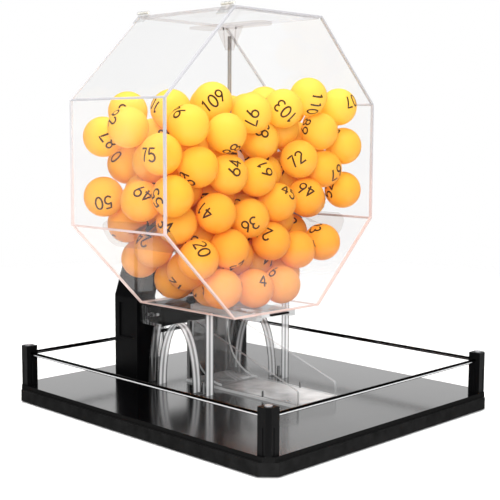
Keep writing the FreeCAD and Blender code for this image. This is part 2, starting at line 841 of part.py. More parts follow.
def bracket_plate_screws():
    """Screws through each bracket into its side plate: (seat, direction)."""
    x = plate_x - side_plate / 2 - bracket
    places = []
    for part in (0.35, 0.78):
        p = V(x, leg_front_y - bracket_flange * part - bracket, bracket_level())
        places.append((p, X_AXIS))
        places.append((V(-p.x, p.y, p.z), X_AXIS * -1))
    return places


def plate_bracket_right():
    """Angle between a side plate's arm and the leg's front."""
    x1 = plate_x - side_plate / 2
    z0 = bracket_level() - bracket_height / 2
    z1 = z0 + bracket_height
    along = box(x1 - bracket, x1, leg_front_y - bracket_flange - bracket, leg_front_y, z0, z1)
    x0 = bracket_leg_screw().x - bracket_screw_margin
    across = box(x0, x1, leg_front_y - bracket, leg_front_y, z0, z1)
    hole = screw_small / 2 + seat_clearance
    cuts = [rod(p, d, hole, bracket) for p, d in bracket_plate_screws() if p.x > 0]
    cuts.append(rod(bracket_leg_screw(), Y_AXIS, hole, bracket))
    return along.fuse(across).removeSplitter().cut(Part.makeCompound(cuts))


def plate_brackets():
    right = plate_bracket_right()
    return solids([right, mirrored_x(right)])


def plate_screws():
    """Screws from below into the side plates, and through the brackets."""
    length = plate_top - small_screw_seat + screw_grip
    up = [screw(V(x, y, small_screw_seat), Z_AXIS, screw_small, length)
          for x, y in side_plate_screw_places()]
    through = bracket + side_plate - screw_end_room
    across = [screw(p, d, screw_small, through) for p, d in bracket_plate_screws()]
    return solids(up + across)


# ---------------------------------------------------------------- chute
def chute_top(y):
    """Height of a chute wall's sloping top edge at a depth."""
    return plate_top + chute_lip_height + chute_slope * (y - chute_front_y)


def chute_wall_right():
    level_y = chute_rear_y - chute_level_run
    pairs = [(chute_front_y, chute_base), (chute_front_y, chute_top(chute_front_y)),
             (level_y, chute_top(level_y)), (chute_rear_y, chute_top(level_y)), (chute_rear_y, chute_base)]
    wall = outline_yz(pairs, chute_x - chute_wall / 2, chute_x + chute_wall / 2)
    near = chute_top(chute_front_y)
    wall = round_edges(wall, X_AXIS, chute_corner,
                       lambda c: c.y < chute_front_y + 1 and abs(c.z - near) < 1)
    cuts = [screw_hole(V(x, y, chute_base), Z_AXIS, screw_fine, screw_grip / 2)
            for x, y in chute_screw_places() if x > 0]
    return wall.cut(Part.makeCompound(cuts))


def chute_floor_sheet():
    half = chute_x + chute_wall / 2 + chute_floor_ledge
    sheet = box(-half, half, chute_front_y, chute_rear_y, plate_top, chute_base)
    hole = screw_fine / 2 + seat_clearance
    return sheet.cut(Part.makeCompound([rod(V(x, y, plate_top), Z_AXIS, hole, chute_floor)
                                        for x, y in chute_screw_places()]))


def ball_slide():
    """Sheet that turns a falling ball towards the front."""
    half = chute_x - chute_wall / 2 - seat_clearance
    inner = slide_radius - slide_sheet
    cy = slide_rear_y - slide_radius
    cz = chute_base + slide_radius
    bend = ring(V(-half, cy, cz), X_AXIS, slide_radius, inner, 2 * half)
    quarter = box(-half, half, cy, slide_rear_y, chute_base, cz)
    upright = box(-half, half, slide_rear_y - slide_sheet, slide_rear_y, cz,
                  chute_top(chute_rear_y) - slide_top_drop)
    return bend.common(quarter).fuse(upright).removeSplitter()


def chute_screws():
    length = chute_base - fine_screw_seat + screw_grip / 2
    places = [V(x, y, fine_screw_seat) for x, y in chute_screw_places()]
    return solids([screw(place, Z_AXIS, screw_fine, length) for place in places])


# ---------------------------------------------------------------- outlet gate
def outlet_gate():
    """Sliding sheet under the outlet, with a pull at the drum's front."""
    half = gate_width / 2
    gate = box(-half, half, drum_front_y, gate_rear_y, gate_bottom, gate_top)
    return round_edges(gate, Z_AXIS, gate_corner, lambda c: c.y > mid_y)


def gate_pull():
    half = gate_pull_width / 2
    low = gate_top - gate_pull_height
    pull = box(-half, half, drum_front_y - gate_pull_depth, drum_front_y, low, gate_top)
    return round_edges(pull, Y_AXIS, gate_pull_rounding)


def gate_guide_right():
    """Angle under the drum that carries one edge of the gate, with an end stop."""
    inner = gate_width / 2 + moving_gap
    lip_top = gate_bottom - moving_gap
    low = lip_top - guide_lip
    stop = gate_rear_y + moving_gap
    web = box(inner, inner + guide_web, inner_front_y, stop + guide_web, low, drum_bottom)
    lip = box(inner - guide_web, inner, inner_front_y, stop + guide_web, low, lip_top)
    end = box(inner - guide_web, inner, stop, stop + guide_web, low, drum_bottom)
    return web.fuse(lip).fuse(end).removeSplitter()


def gate_guides():
    right = gate_guide_right()
    return solids([right, mirrored_x(right)])


# ---------------------------------------------------------------- balls
def drum_planes():
    """Inner walls of the drum as (inward normal, offset)."""
    planes = []
    for k in range(8):
        normal = radial_direction(45 * k) * -1
        planes.append((normal, normal.z * axis_z - (apothem - panel)))
    planes.append((Y_AXIS, inner_front_y))
    planes.append((Y_AXIS * -1, -inner_rear_y))
    return [(n.x, n.y, n.z, d) for n, d in planes]


def stirrer_bars():
    """Shaft, hub, collar, flange, rods and sockets as (start, end, radius)."""
    def on_axis(y0, y1, diameter):
        return (0.0, y0, axis_z), (0.0, y1, axis_z), diameter / 2

    hub_core = hub_length * 5 / 22
    socket_room = socket_tip_diameter * 19 / 15
    bars = [on_axis(shaft_front_y, inner_rear_y, shaft_diameter),
            on_axis(shaft_front_y + hub_core, shaft_front_y + hub_length - hub_core,
                    hub_diameter + hub_rounding),
            on_axis(collar_front_y, inner_rear_y, collar_diameter),
            on_axis(inner_rear_y - 0.1, inner_rear_y, 2 * head_radius)]
    for angle in arm_angles:
        for near, far, diameter in ((rod_root, rod_tip, stirrer_rod_diameter),
                                    (blade_radius - socket_length, blade_radius, socket_room)):
            bars.append((tuple(radial(angle, near)), tuple(radial(angle, far)), diameter / 2))
        for side in (-1, 1):
            low = radial(angle, fin_low, mid_y + side * fin_root)
            high = radial(angle, fin_high, mid_y + side * socket_fin_reach)
            bars.append((tuple(low), tuple(high), socket_fin / 2))
    return bars


def nearest_on_bar(p, bar):
    """Closest point of a bar's middle line."""
    (ax, ay, az), (bx, by, bz), _ = bar
    ux, uy, uz = bx - ax, by - ay, bz - az
    t = ((p[0] - ax) * ux + (p[1] - ay) * uy + (p[2] - az) * uz) / (ux * ux + uy * uy + uz * uz)
    t = max(0.0, min(1.0, t))
    return ax + ux * t, ay + uy * t, az + uz * t


def nearest_on_blade(p, angle):
    """Closest point of a blade's curved sheet."""
    around = math.atan2(p[2] - axis_z, p[0]) - math.radians(angle)
    around = (around + math.pi) % (2 * math.pi) - math.pi
    half = math.asin(blade_width / 2 / (blade_radius - blade_thickness))
    at = math.radians(angle) + max(-half, min(half, around))
    r = max(blade_radius - blade_thickness, min(blade_radius, math.hypot(p[0], p[2] - axis_z)))
    y = max(mid_y - blade_length / 2, min(mid_y + blade_length / 2, p[1]))
    return r * math.cos(at), y, axis_z + r * math.sin(at)


def push_away(p, q, reach):
    """Move p out until it is at least reach from q."""
    dx, dy, dz = p[0] - q[0], p[1] - q[1], p[2] - q[2]
    length = math.sqrt(dx * dx + dy * dy + dz * dz)
    if 1e-9 < length < reach:
        k = (reach - length) / length
        p[0] += dx * k
        p[1] += dy * k
        p[2] += dz * k


def part_pair(a, b, reach, a_fixed):
    """Move two centres apart until they are reach apart."""
    dx, dy, dz = b[0] - a[0], b[1] - a[1], b[2] - a[2]
    square = dx * dx + dy * dy + dz * dz
    if square >= reach * reach:
        return
    length = math.sqrt(square)
    k = (reach - length) / length
    share = 1.0 if a_fixed else 0.5
    for i, step in enumerate((dx, dy, dz)):
        b[i] += step * k * share
        a[i] -= step * k * (1.0 - share)


def relax(balls, pairs, walls, bars, radius):
    """One pass that takes balls out of each other, the stirrer and the walls."""
    for i, j in pairs:
        part_pair(balls[i], balls[j], 2 * radius, i == 0)
    for p in balls[1:]:
        for bar in bars:
            push_away(p, nearest_on_bar(p, bar), bar[2] + radius)
        for angle in arm_angles:
            push_away(p, nearest_on_blade(p, angle), radius)
        for nx, ny, nz, d in walls:
            short = nx * p[0] + ny * p[1] + nz * p[2] - d - radius
            if short < 0:
                p[0] -= nx * short
                p[1] -= ny * short
                p[2] -= nz * short


def close_pairs(balls, reach):
    """Pairs (i, j), i < j, that may touch."""
    pairs = []
    for j in range(len(balls)):
        for i in range(j):
            if all(abs(balls[i][k] - balls[j][k]) < reach for k in range(3)):
                pairs.append((i, j))
    return pairs


def scattered_balls(walls, radius):
    """The ball in the outlet, then the rest spread at random through the drum."""
    draw = random.Random(ball_seed)
    balls = [[0.0, mid_y, gate_top + ball_diameter / 2 + moving_gap]]
    reach = apothem - panel - radius
    while len(balls) < ball_count:
        p = [draw.uniform(-reach, reach), draw.uniform(inner_front_y, inner_rear_y),
             axis_z + draw.uniform(-reach, reach)]
        if all(nx * p[0] + ny * p[1] + nz * p[2] - d > radius for nx, ny, nz, d in walls):
            balls.append(p)
    return balls


def smallest_gap(balls, pairs):
    """Least distance between two balls' skins."""
    return min(math.dist(balls[i], balls[j]) for i, j in pairs) - ball_diameter


def settled_balls():
    """Let the scattered balls sink into a heap, then ease them apart."""
    radius = (ball_diameter + ball_gap) / 2
    walls = drum_planes()
    bars = stirrer_bars()
    balls = scattered_balls(walls, radius)
    longest_fall = ball_diameter * 9 / 200
    for step in range(settle_steps):
        if step % 6 == 0:
            pairs = close_pairs(balls, 2 * radius + ball_diameter * 0.35)
        fall = longest_fall * min(1.0, 1.2 * (settle_steps - step) / settle_steps)
        for p in balls[1:]:
            p[2] -= fall
        for _ in range(settle_passes):
            relax(balls, pairs, walls, bars, radius)
    for step in range(ease_passes):
        if step % 50 == 0:
            pairs = close_pairs(balls, 2 * radius + ball_diameter / 4)
            if smallest_gap(balls, pairs) > 0.8 * ball_gap:
                break
        relax(balls, pairs, walls, bars, radius)
    return balls


def ball(centre):
    """Hollow ball."""
    outer = Part.makeSphere(ball_diameter / 2, V(*centre))
    return outer.cut(Part.makeSphere(ball_diameter / 2 - ball_wall, V(*centre)))


# ---------------------------------------------------------------- nodes
def nodes():
    """Every node by name."""
    parts = {
        "base_board": base_board(), "base_plate": base_plate(), "rubber_feet": rubber_feet(),
        "post_caps": post_caps(), "base_screws": base_screws(),
        "guard_rod_front": guard_rod(True, -1), "guard_rod_rear": guard_rod(True, 1),
        "guard_rod_left": guard_rod(False, -1), "guard_rod_right": guard_rod(False, 1),
        "stand_leg_right": leg_right(), "stand_leg_left": mirrored_x(leg_right()),
        "stand_crossbar": crossbar(), "bearing_head": bearing_head(),
        "stand_screws": stand_screws(), "drum_screws": drum_screws(),
        "bearing_front": flanged_bush(front_flange_y, Y_AXIS),
        "bearing_rear": flanged_bush(rear_flange_y, Y_AXIS * -1),
        "drum_front_panel": end_panel(drum_front_y), "drum_rear_panel": drum_rear_panel(),
        "drum_bottom_panel": drum_bottom_panel(), "loading_lid": side_panel(90, lid_gap),
        "lid_hinge_fixed": solids([hinge_fixed(y) for y in hinge_starts()]),
        "lid_hinge_moving": solids([hinge_moving(y) for y in hinge_starts()]),
        "lid_hinge_pins": lid_hinge_pins(),
        "stirrer_shaft": stirrer_shaft(), "stirrer_hub": stirrer_hub(), "shaft_collar": shaft_collar(),
        "stirrer_rods": stirrer_rods(), "grub_screws": grub_screws(),
        "crank_arm": crank_arm(), "knob_pin": knob_pin(), "crank_knob": crank_knob(),
        "side_plate_right": side_plate_right(), "side_plate_left": mirrored_x(side_plate_right()),
        "plate_brackets": plate_brackets(), "plate_screws": plate_screws(),
        "chute_wall_right": chute_wall_right(), "chute_wall_left": mirrored_x(chute_wall_right()),
        "chute_floor": chute_floor_sheet(), "ball_slide": ball_slide(), "chute_screws": chute_screws(),
        "outlet_gate": outlet_gate(), "gate_pull": gate_pull(), "gate_guides": gate_guides(),
    }
    for side, sx in (("left", -1), ("right", 1)):
        for end, sy in (("front", -1), ("rear", 1)):
            parts["post_%s_%s" % (end, side)] = corner_post(sx, sy)
    panel_angles = {"right": 0, "upper_right": 45, "upper_left": 135, "left": 180,
                    "lower_left": 225, "lower_right": 315}
    for name, angle in panel_angles.items():
        parts["drum_%s_panel" % name] = side_panel(angle)
    for name, angle in zip(("top", "left", "right"), arm_angles):
        parts["paddle_%s" % name] = paddle(angle)
    heap = settled_balls()
    half = (len(heap) + 1) // 2
    by_height = sorted(heap, key=lambda p: p[2])
    parts["balls_lower"] = solids([ball(p) for p in by_height[:half]])
    parts["balls_upper"] = solids([ball(p) for p in by_height[half:]])
    return parts


def export():
    os.makedirs("parts", exist_ok=True)
    for name, shape in nodes().items():
        shape.exportStep("parts/%s.step" % name)


export()
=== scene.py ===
import math

import bpy
import numpy as np
from mathutils import Matrix, Vector


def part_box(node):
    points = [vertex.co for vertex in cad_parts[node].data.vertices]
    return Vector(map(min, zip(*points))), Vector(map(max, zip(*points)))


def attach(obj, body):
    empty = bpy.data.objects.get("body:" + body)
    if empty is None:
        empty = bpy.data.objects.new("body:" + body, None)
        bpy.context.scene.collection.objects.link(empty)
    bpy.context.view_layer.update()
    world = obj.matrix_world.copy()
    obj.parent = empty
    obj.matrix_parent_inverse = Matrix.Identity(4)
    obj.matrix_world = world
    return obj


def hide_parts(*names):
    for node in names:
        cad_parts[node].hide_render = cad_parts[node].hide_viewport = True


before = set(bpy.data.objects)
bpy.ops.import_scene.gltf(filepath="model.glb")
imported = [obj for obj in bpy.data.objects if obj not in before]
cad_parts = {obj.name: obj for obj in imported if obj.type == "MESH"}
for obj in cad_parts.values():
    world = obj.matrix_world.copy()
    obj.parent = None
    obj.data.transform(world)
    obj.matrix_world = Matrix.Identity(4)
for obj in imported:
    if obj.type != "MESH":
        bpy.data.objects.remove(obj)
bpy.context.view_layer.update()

MM = 0.001
TURN = 2 * math.pi

# The machine's own sizes, in millimetres, as the solids have them
DRUM_AXIS_Z = 252.0
DRUM_APOTHEM = 150.0
DRUM_HALF_SIDE = DRUM_APOTHEM * math.tan(math.pi / 8)
DRUM_FRONT_Y = -39.0
DRUM_REAR_Y = 105.0
PANEL = 3.0
LID_GAP = 0.4
BALL_RADIUS = 20.0
BALLS_PER_NODE = 55
# How far a ball's own tint may lean from its place in the heap towards lemon
TINT_SPREAD = 0.22

ACRYLIC_IOR = 1.49

# Socket numbers of a colour mix node, whose names are shared by its other data types
MIX_SHARE, MIX_A, MIX_B, MIXED = 0, 6, 7, 2


# ------------------------------------------------------------------ colours and nodes
def linear(hex_colour):
    """sRGB hex to linear: c/12.92 below 0.04045, else ((c + 0.055)/1.055)^2.4."""
    channels = [int(hex_colour[i:i + 2], 16) / 255 for i in (1, 3, 5)]
    out = [c / 12.92 if c <= 0.04045 else ((c + 0.055) / 1.055) ** 2.4 for c in channels]
    return (*out, 1.0)


def pattern(mm):
    """Scale at which the cells of a noise pattern are this many millimetres across."""
    return 1000 / mm


def add(tree, kind, inputs=None, stops=(), **settings):
    """Adds one node and sets its properties. Each input, by name or number, is a plain value, an
    output of another node, or a node that gives its first output. Stops are a colour ramp's."""
    made = tree.nodes.new(kind)
    for key, value in settings.items():
        setattr(made, key, value)
    for key, value in (inputs or {}).items():
        if isinstance(value, bpy.types.Node):
            value = value.outputs[0]
        if isinstance(value, bpy.types.NodeSocket):
            tree.links.new(value, made.inputs[key])
        else:
            made.inputs[key].default_value = value
    for number, (place, tone) in enumerate(stops):
        if number == len(made.color_ramp.elements):
            made.color_ramp.elements.new(place)
        made.color_ramp.elements[number].position = place
        made.color_ramp.elements[number].color = linear(tone)
    return made


def blank(name):
    """A new material and its tree, with no nodes yet."""
    made = bpy.data.materials.new(name)
    made.use_nodes = True
    made.node_tree.nodes.clear()
    return made, made.node_tree


# ------------------------------------------------------------------ finishes
def painted_fibreboard():
    """Sprayed black fibreboard: a dead matte film over faint fibre, a little greyer where dust rests."""
    made, tree = blank("painted fibreboard")
    place = add(tree, "ShaderNodeTexCoord").outputs["Object"]
    dust = add(tree, "ShaderNodeTexNoise", {"Vector": place, "Scale": pattern(9.0), "Detail": 5.0})
    tone = add(tree, "ShaderNodeMix", {
        MIX_SHARE: dust, MIX_A: linear("#0A0A0A"), MIX_B: linear("#222222")}, data_type="RGBA")
    film = add(tree, "ShaderNodeTexNoise", {"Vector": place, "Scale": pattern(5.0)})
    dull = add(tree, "ShaderNodeMapRange", {"Value": film, "To Min": 0.6, "To Max": 0.95})
    fibre = add(tree, "ShaderNodeTexNoise", {"Vector": place, "Scale": pattern(1.2), "Detail": 4.0})
    bump = add(tree, "ShaderNodeBump", {"Height": fibre, "Strength": 0.4, "Distance": 0.05 * MM})
    paint = add(tree, "ShaderNodeBsdfPrincipled", {
        "Base Color": tone.outputs[MIXED], "Roughness": dull, "Normal": bump, "IOR": 1.5,
        "Specular IOR Level": 0.0})
    add(tree, "ShaderNodeOutputMaterial", {"Surface": paint})
    return made


def cast_black_acrylic():
    """Black cast PMMA sheet: deep colour under a gloss that fine wiping marks have softened. Its
    milled edge is left dead matte."""
    made, tree = blank("cast black acrylic")
    coords = add(tree, "ShaderNodeTexCoord")
    place = coords.outputs["Object"]
    along = add(tree, "ShaderNodeMapping", {
        "Vector": place, "Scale": (pattern(34), pattern(97), pattern(34))})
    wiped = add(tree, "ShaderNodeTexNoise", {"Vector": along, "Scale": 1.0, "Detail": 4.0})
    gloss = add(tree, "ShaderNodeMapRange", {"Value": wiped, "To Min": 0.08, "To Max": 0.2})
    wave = add(tree, "ShaderNodeTexNoise", {"Vector": place, "Scale": pattern(14.0)})
    bump = add(tree, "ShaderNodeBump", {"Height": wave, "Strength": 0.12, "Distance": 0.02 * MM})
    sheet = add(tree, "ShaderNodeBsdfPrincipled", {
        "Base Color": linear("#040405"), "Roughness": gloss, "Normal": bump, "IOR": ACRYLIC_IOR,
        "Coat Weight": 1.0, "Coat Roughness": 0.14, "Coat IOR": 1.5})
    tooth = add(tree, "ShaderNodeTexNoise", {"Vector": place, "Scale": pattern(1.0)})
    tone = add(tree, "ShaderNodeMix", {
        MIX_SHARE: tooth, MIX_A: linear("#0A0A0A"), MIX_B: linear("#1C1C1C")}, data_type="RGBA")
    milled = add(tree, "ShaderNodeBsdfPrincipled", {
        "Base Color": tone.outputs[MIXED], "Roughness": 0.85, "IOR": ACRYLIC_IOR,
        "Specular IOR Level": 0.0})
    upward = add(tree, "ShaderNodeSeparateXYZ", {0: coords.outputs["Normal"]}).outputs["Z"]
    top = add(tree, "ShaderNodeMapRange", {"Value": upward, "From Min": 0.5, "From Max": 0.8})
    whole = add(tree, "ShaderNodeMixShader", {0: top, 1: milled, 2: sheet})
    add(tree, "ShaderNodeOutputMaterial", {"Surface": whole})
    return made


def extruded_black():
    """Black anodised extrusion: satin, with fine drawing lines along its length."""
    made, tree = blank("black anodised extrusion")
    place = add(tree, "ShaderNodeTexCoord").outputs["Object"]
    upright = add(tree, "ShaderNodeMapping", {
        "Vector": place, "Scale": (pattern(1), pattern(1), pattern(50))})
    lines = add(tree, "ShaderNodeTexNoise", {"Vector": upright, "Scale": 1.0})
    satin = add(tree, "ShaderNodeMapRange", {"Value": lines, "To Min": 0.18, "To Max": 0.5})
    tone = add(tree, "ShaderNodeMix", {
        MIX_SHARE: lines, MIX_A: linear("#040404"), MIX_B: linear("#0E0E0F")}, data_type="RGBA")
    bump = add(tree, "ShaderNodeBump", {"Height": lines, "Strength": 0.3, "Distance": 0.03 * MM})
    metal = add(tree, "ShaderNodeBsdfPrincipled", {
        "Base Color": tone.outputs[MIXED], "Roughness": satin, "Normal": bump, "IOR": 1.5,
        "Specular IOR Level": 0.04})
    add(tree, "ShaderNodeOutputMaterial", {"Surface": metal})
    return made


def moulded_black(name, tone, rough, grain_mm):
    """Black piece moulded or cast in one colour: an even grain from the mould's wall, satin or, with
    a low roughness, polished."""
    made, tree = blank(name)
    place = add(tree, "ShaderNodeTexCoord").outputs["Object"]
    flow = add(tree, "ShaderNodeTexNoise", {"Vector": place, "Scale": pattern(18.0)})
    colour = add(tree, "ShaderNodeMix", {
        MIX_SHARE: flow, MIX_A: linear(tone), MIX_B: linear("#080809")}, data_type="RGBA")
    satin = add(tree, "ShaderNodeMapRange", {
        "Value": flow, "To Min": rough - 0.1, "To Max": rough + 0.1})
    grain = add(tree, "ShaderNodeTexNoise", {"Vector": place, "Scale": pattern(grain_mm)})
    bump = add(tree, "ShaderNodeBump", {"Height": grain, "Strength": 0.3, "Distance": 0.03 * MM})
    plastic = add(tree, "ShaderNodeBsdfPrincipled", {
        "Base Color": colour.outputs[MIXED], "Roughness": satin, "Normal": bump, "IOR": 1.53,
        "Specular IOR Level": 0.03})
    add(tree, "ShaderNodeOutputMaterial", {"Surface": plastic})
    return made


def grey_cap():
    """Moulded light grey polythene cap: waxy, with a few scuffs."""
    made, tree = blank("grey polythene cap")
    place = add(tree, "ShaderNodeTexCoord").outputs["Object"]
    scuff = add(tree, "ShaderNodeTexNoise", {"Vector": place, "Scale": pattern(2.5), "Detail": 4.0})
    tone = add(tree, "ShaderNodeMix", {
        MIX_SHARE: scuff, MIX_A: linear("#5E5E60"), MIX_B: linear("#9A9A9C")}, data_type="RGBA")
    waxy = add(tree, "ShaderNodeMapRange", {"Value": scuff, "To Min": 0.3, "To Max": 0.6})
    cap = add(tree, "ShaderNodeBsdfPrincipled", {
        "Base Color": tone.outputs[MIXED], "Roughness": waxy, "IOR": 1.51})
    add(tree, "ShaderNodeOutputMaterial", {"Surface": cap})
    return made


def natural_nylon():
    """Unpigmented moulded nylon: off-white, waxy, with light that soaks in a little."""
    made, tree = blank("natural nylon")
    place = add(tree, "ShaderNodeTexCoord").outputs["Object"]
    cloud = add(tree, "ShaderNodeTexNoise", {"Vector": place, "Scale": pattern(6.0)})
    tone = add(tree, "ShaderNodeMix", {
        MIX_SHARE: cloud, MIX_A: linear("#DFDACD"), MIX_B: linear("#FAF7EE")}, data_type="RGBA")
    waxy = add(tree, "ShaderNodeMapRange", {"Value": cloud, "To Min": 0.3, "To Max": 0.6})
    grain = add(tree, "ShaderNodeTexNoise", {"Vector": place, "Scale": pattern(0.9)})
    bump = add(tree, "ShaderNodeBump", {"Height": grain, "Strength": 0.25, "Distance": 0.03 * MM})
    nylon = add(tree, "ShaderNodeBsdfPrincipled", {
        "Base Color": tone.outputs[MIXED], "Roughness": waxy, "Normal": bump, "IOR": 1.53,
        "Subsurface Weight": 0.2, "Subsurface Radius": (1.0, 0.9, 0.7), "Subsurface Scale": 3 * MM})
    add(tree, "ShaderNodeOutputMaterial", {"Surface": nylon})
    return made


def turned_metal(name, tone, low, high, along, metallic=1.0):
    """Metal with fine tool lines, stretched along the piece's length by turning or drawing. The
    real lines are finer than the 0.7 mm drawn here, which is the finest that shows."""
    made, tree = blank(name)
    place = add(tree, "ShaderNodeTexCoord").outputs["Object"]
    lengthwise, crosswise = 57.0, 1430.0
    scale = [lengthwise if axis == along else crosswise for axis in "XYZ"]
    drawn = add(tree, "ShaderNodeMapping", {"Vector": place, "Scale": scale})
    lines = add(tree, "ShaderNodeTexNoise", {"Vector": drawn, "Scale": 1.0})
    gloss = add(tree, "ShaderNodeMapRange", {"Value": lines, "To Min": low, "To Max": high})
    bump = add(tree, "ShaderNodeBump", {"Height": lines, "Strength": 0.15, "Distance": 0.01 * MM})
    metal = add(tree, "ShaderNodeBsdfPrincipled", {
        "Base Color": linear(tone), "Metallic": metallic, "Roughness": gloss, "Normal": bump})
    add(tree, "ShaderNodeOutputMaterial", {"Surface": metal})
    return made


def chromed_rod():
    """Bright chrome plate whose upper side is painted dark brown-black: a painted reflection of the
    dim room above.
    """
    made, tree = blank("chromed rod")
    coords = add(tree, "ShaderNodeTexCoord")
    upward = add(tree, "ShaderNodeSeparateXYZ", {0: coords.outputs["Normal"]}).outputs["Z"]
    # Painted reflection: the colour darkens where the normal turns upwards, standing for the dim room
    # above.
    film = add(tree, "ShaderNodeMapRange", {"Value": upward, "From Min": 0.0, "From Max": 0.3})
    tone = add(tree, "ShaderNodeMix", {
        MIX_SHARE: film, MIX_A: linear("#B6B7B9"), MIX_B: linear("#121111")}, data_type="RGBA")
    cloud = add(tree, "ShaderNodeTexNoise", {"Vector": coords.outputs["Object"], "Scale": pattern(12.0)})
    polish = add(tree, "ShaderNodeMapRange", {"Value": cloud, "To Min": 0.05, "To Max": 0.2})
    chrome = add(tree, "ShaderNodeBsdfPrincipled", {
        "Base Color": tone.outputs[MIXED], "Metallic": 1.0, "Roughness": polish})
    add(tree, "ShaderNodeOutputMaterial", {"Surface": chrome})
    return made


def soft_rubber():
    """Moulded black rubber: dull, with a fine bloom."""
    made, tree = blank("moulded rubber")
    place = add(tree, "ShaderNodeTexCoord").outputs["Object"]
    bloom = add(tree, "ShaderNodeTexNoise", {"Vector": place, "Scale": pattern(3.0)})
    tone = add(tree, "ShaderNodeMix", {
        MIX_SHARE: bloom, MIX_A: linear("#060606"), MIX_B: linear("#1C1C1C")}, data_type="RGBA")
    grain = add(tree, "ShaderNodeTexNoise", {"Vector": place, "Scale": pattern(0.8)})
    bump = add(tree, "ShaderNodeBump", {"Height": grain, "Strength": 0.4, "Distance": 0.05 * MM})
    rubber = add(tree, "ShaderNodeBsdfPrincipled", {
        "Base Color": tone.outputs[MIXED], "Roughness": 0.75, "Normal": bump, "IOR": 1.5})
    add(tree, "ShaderNodeOutputMaterial", {"Surface": rubber})
    return made


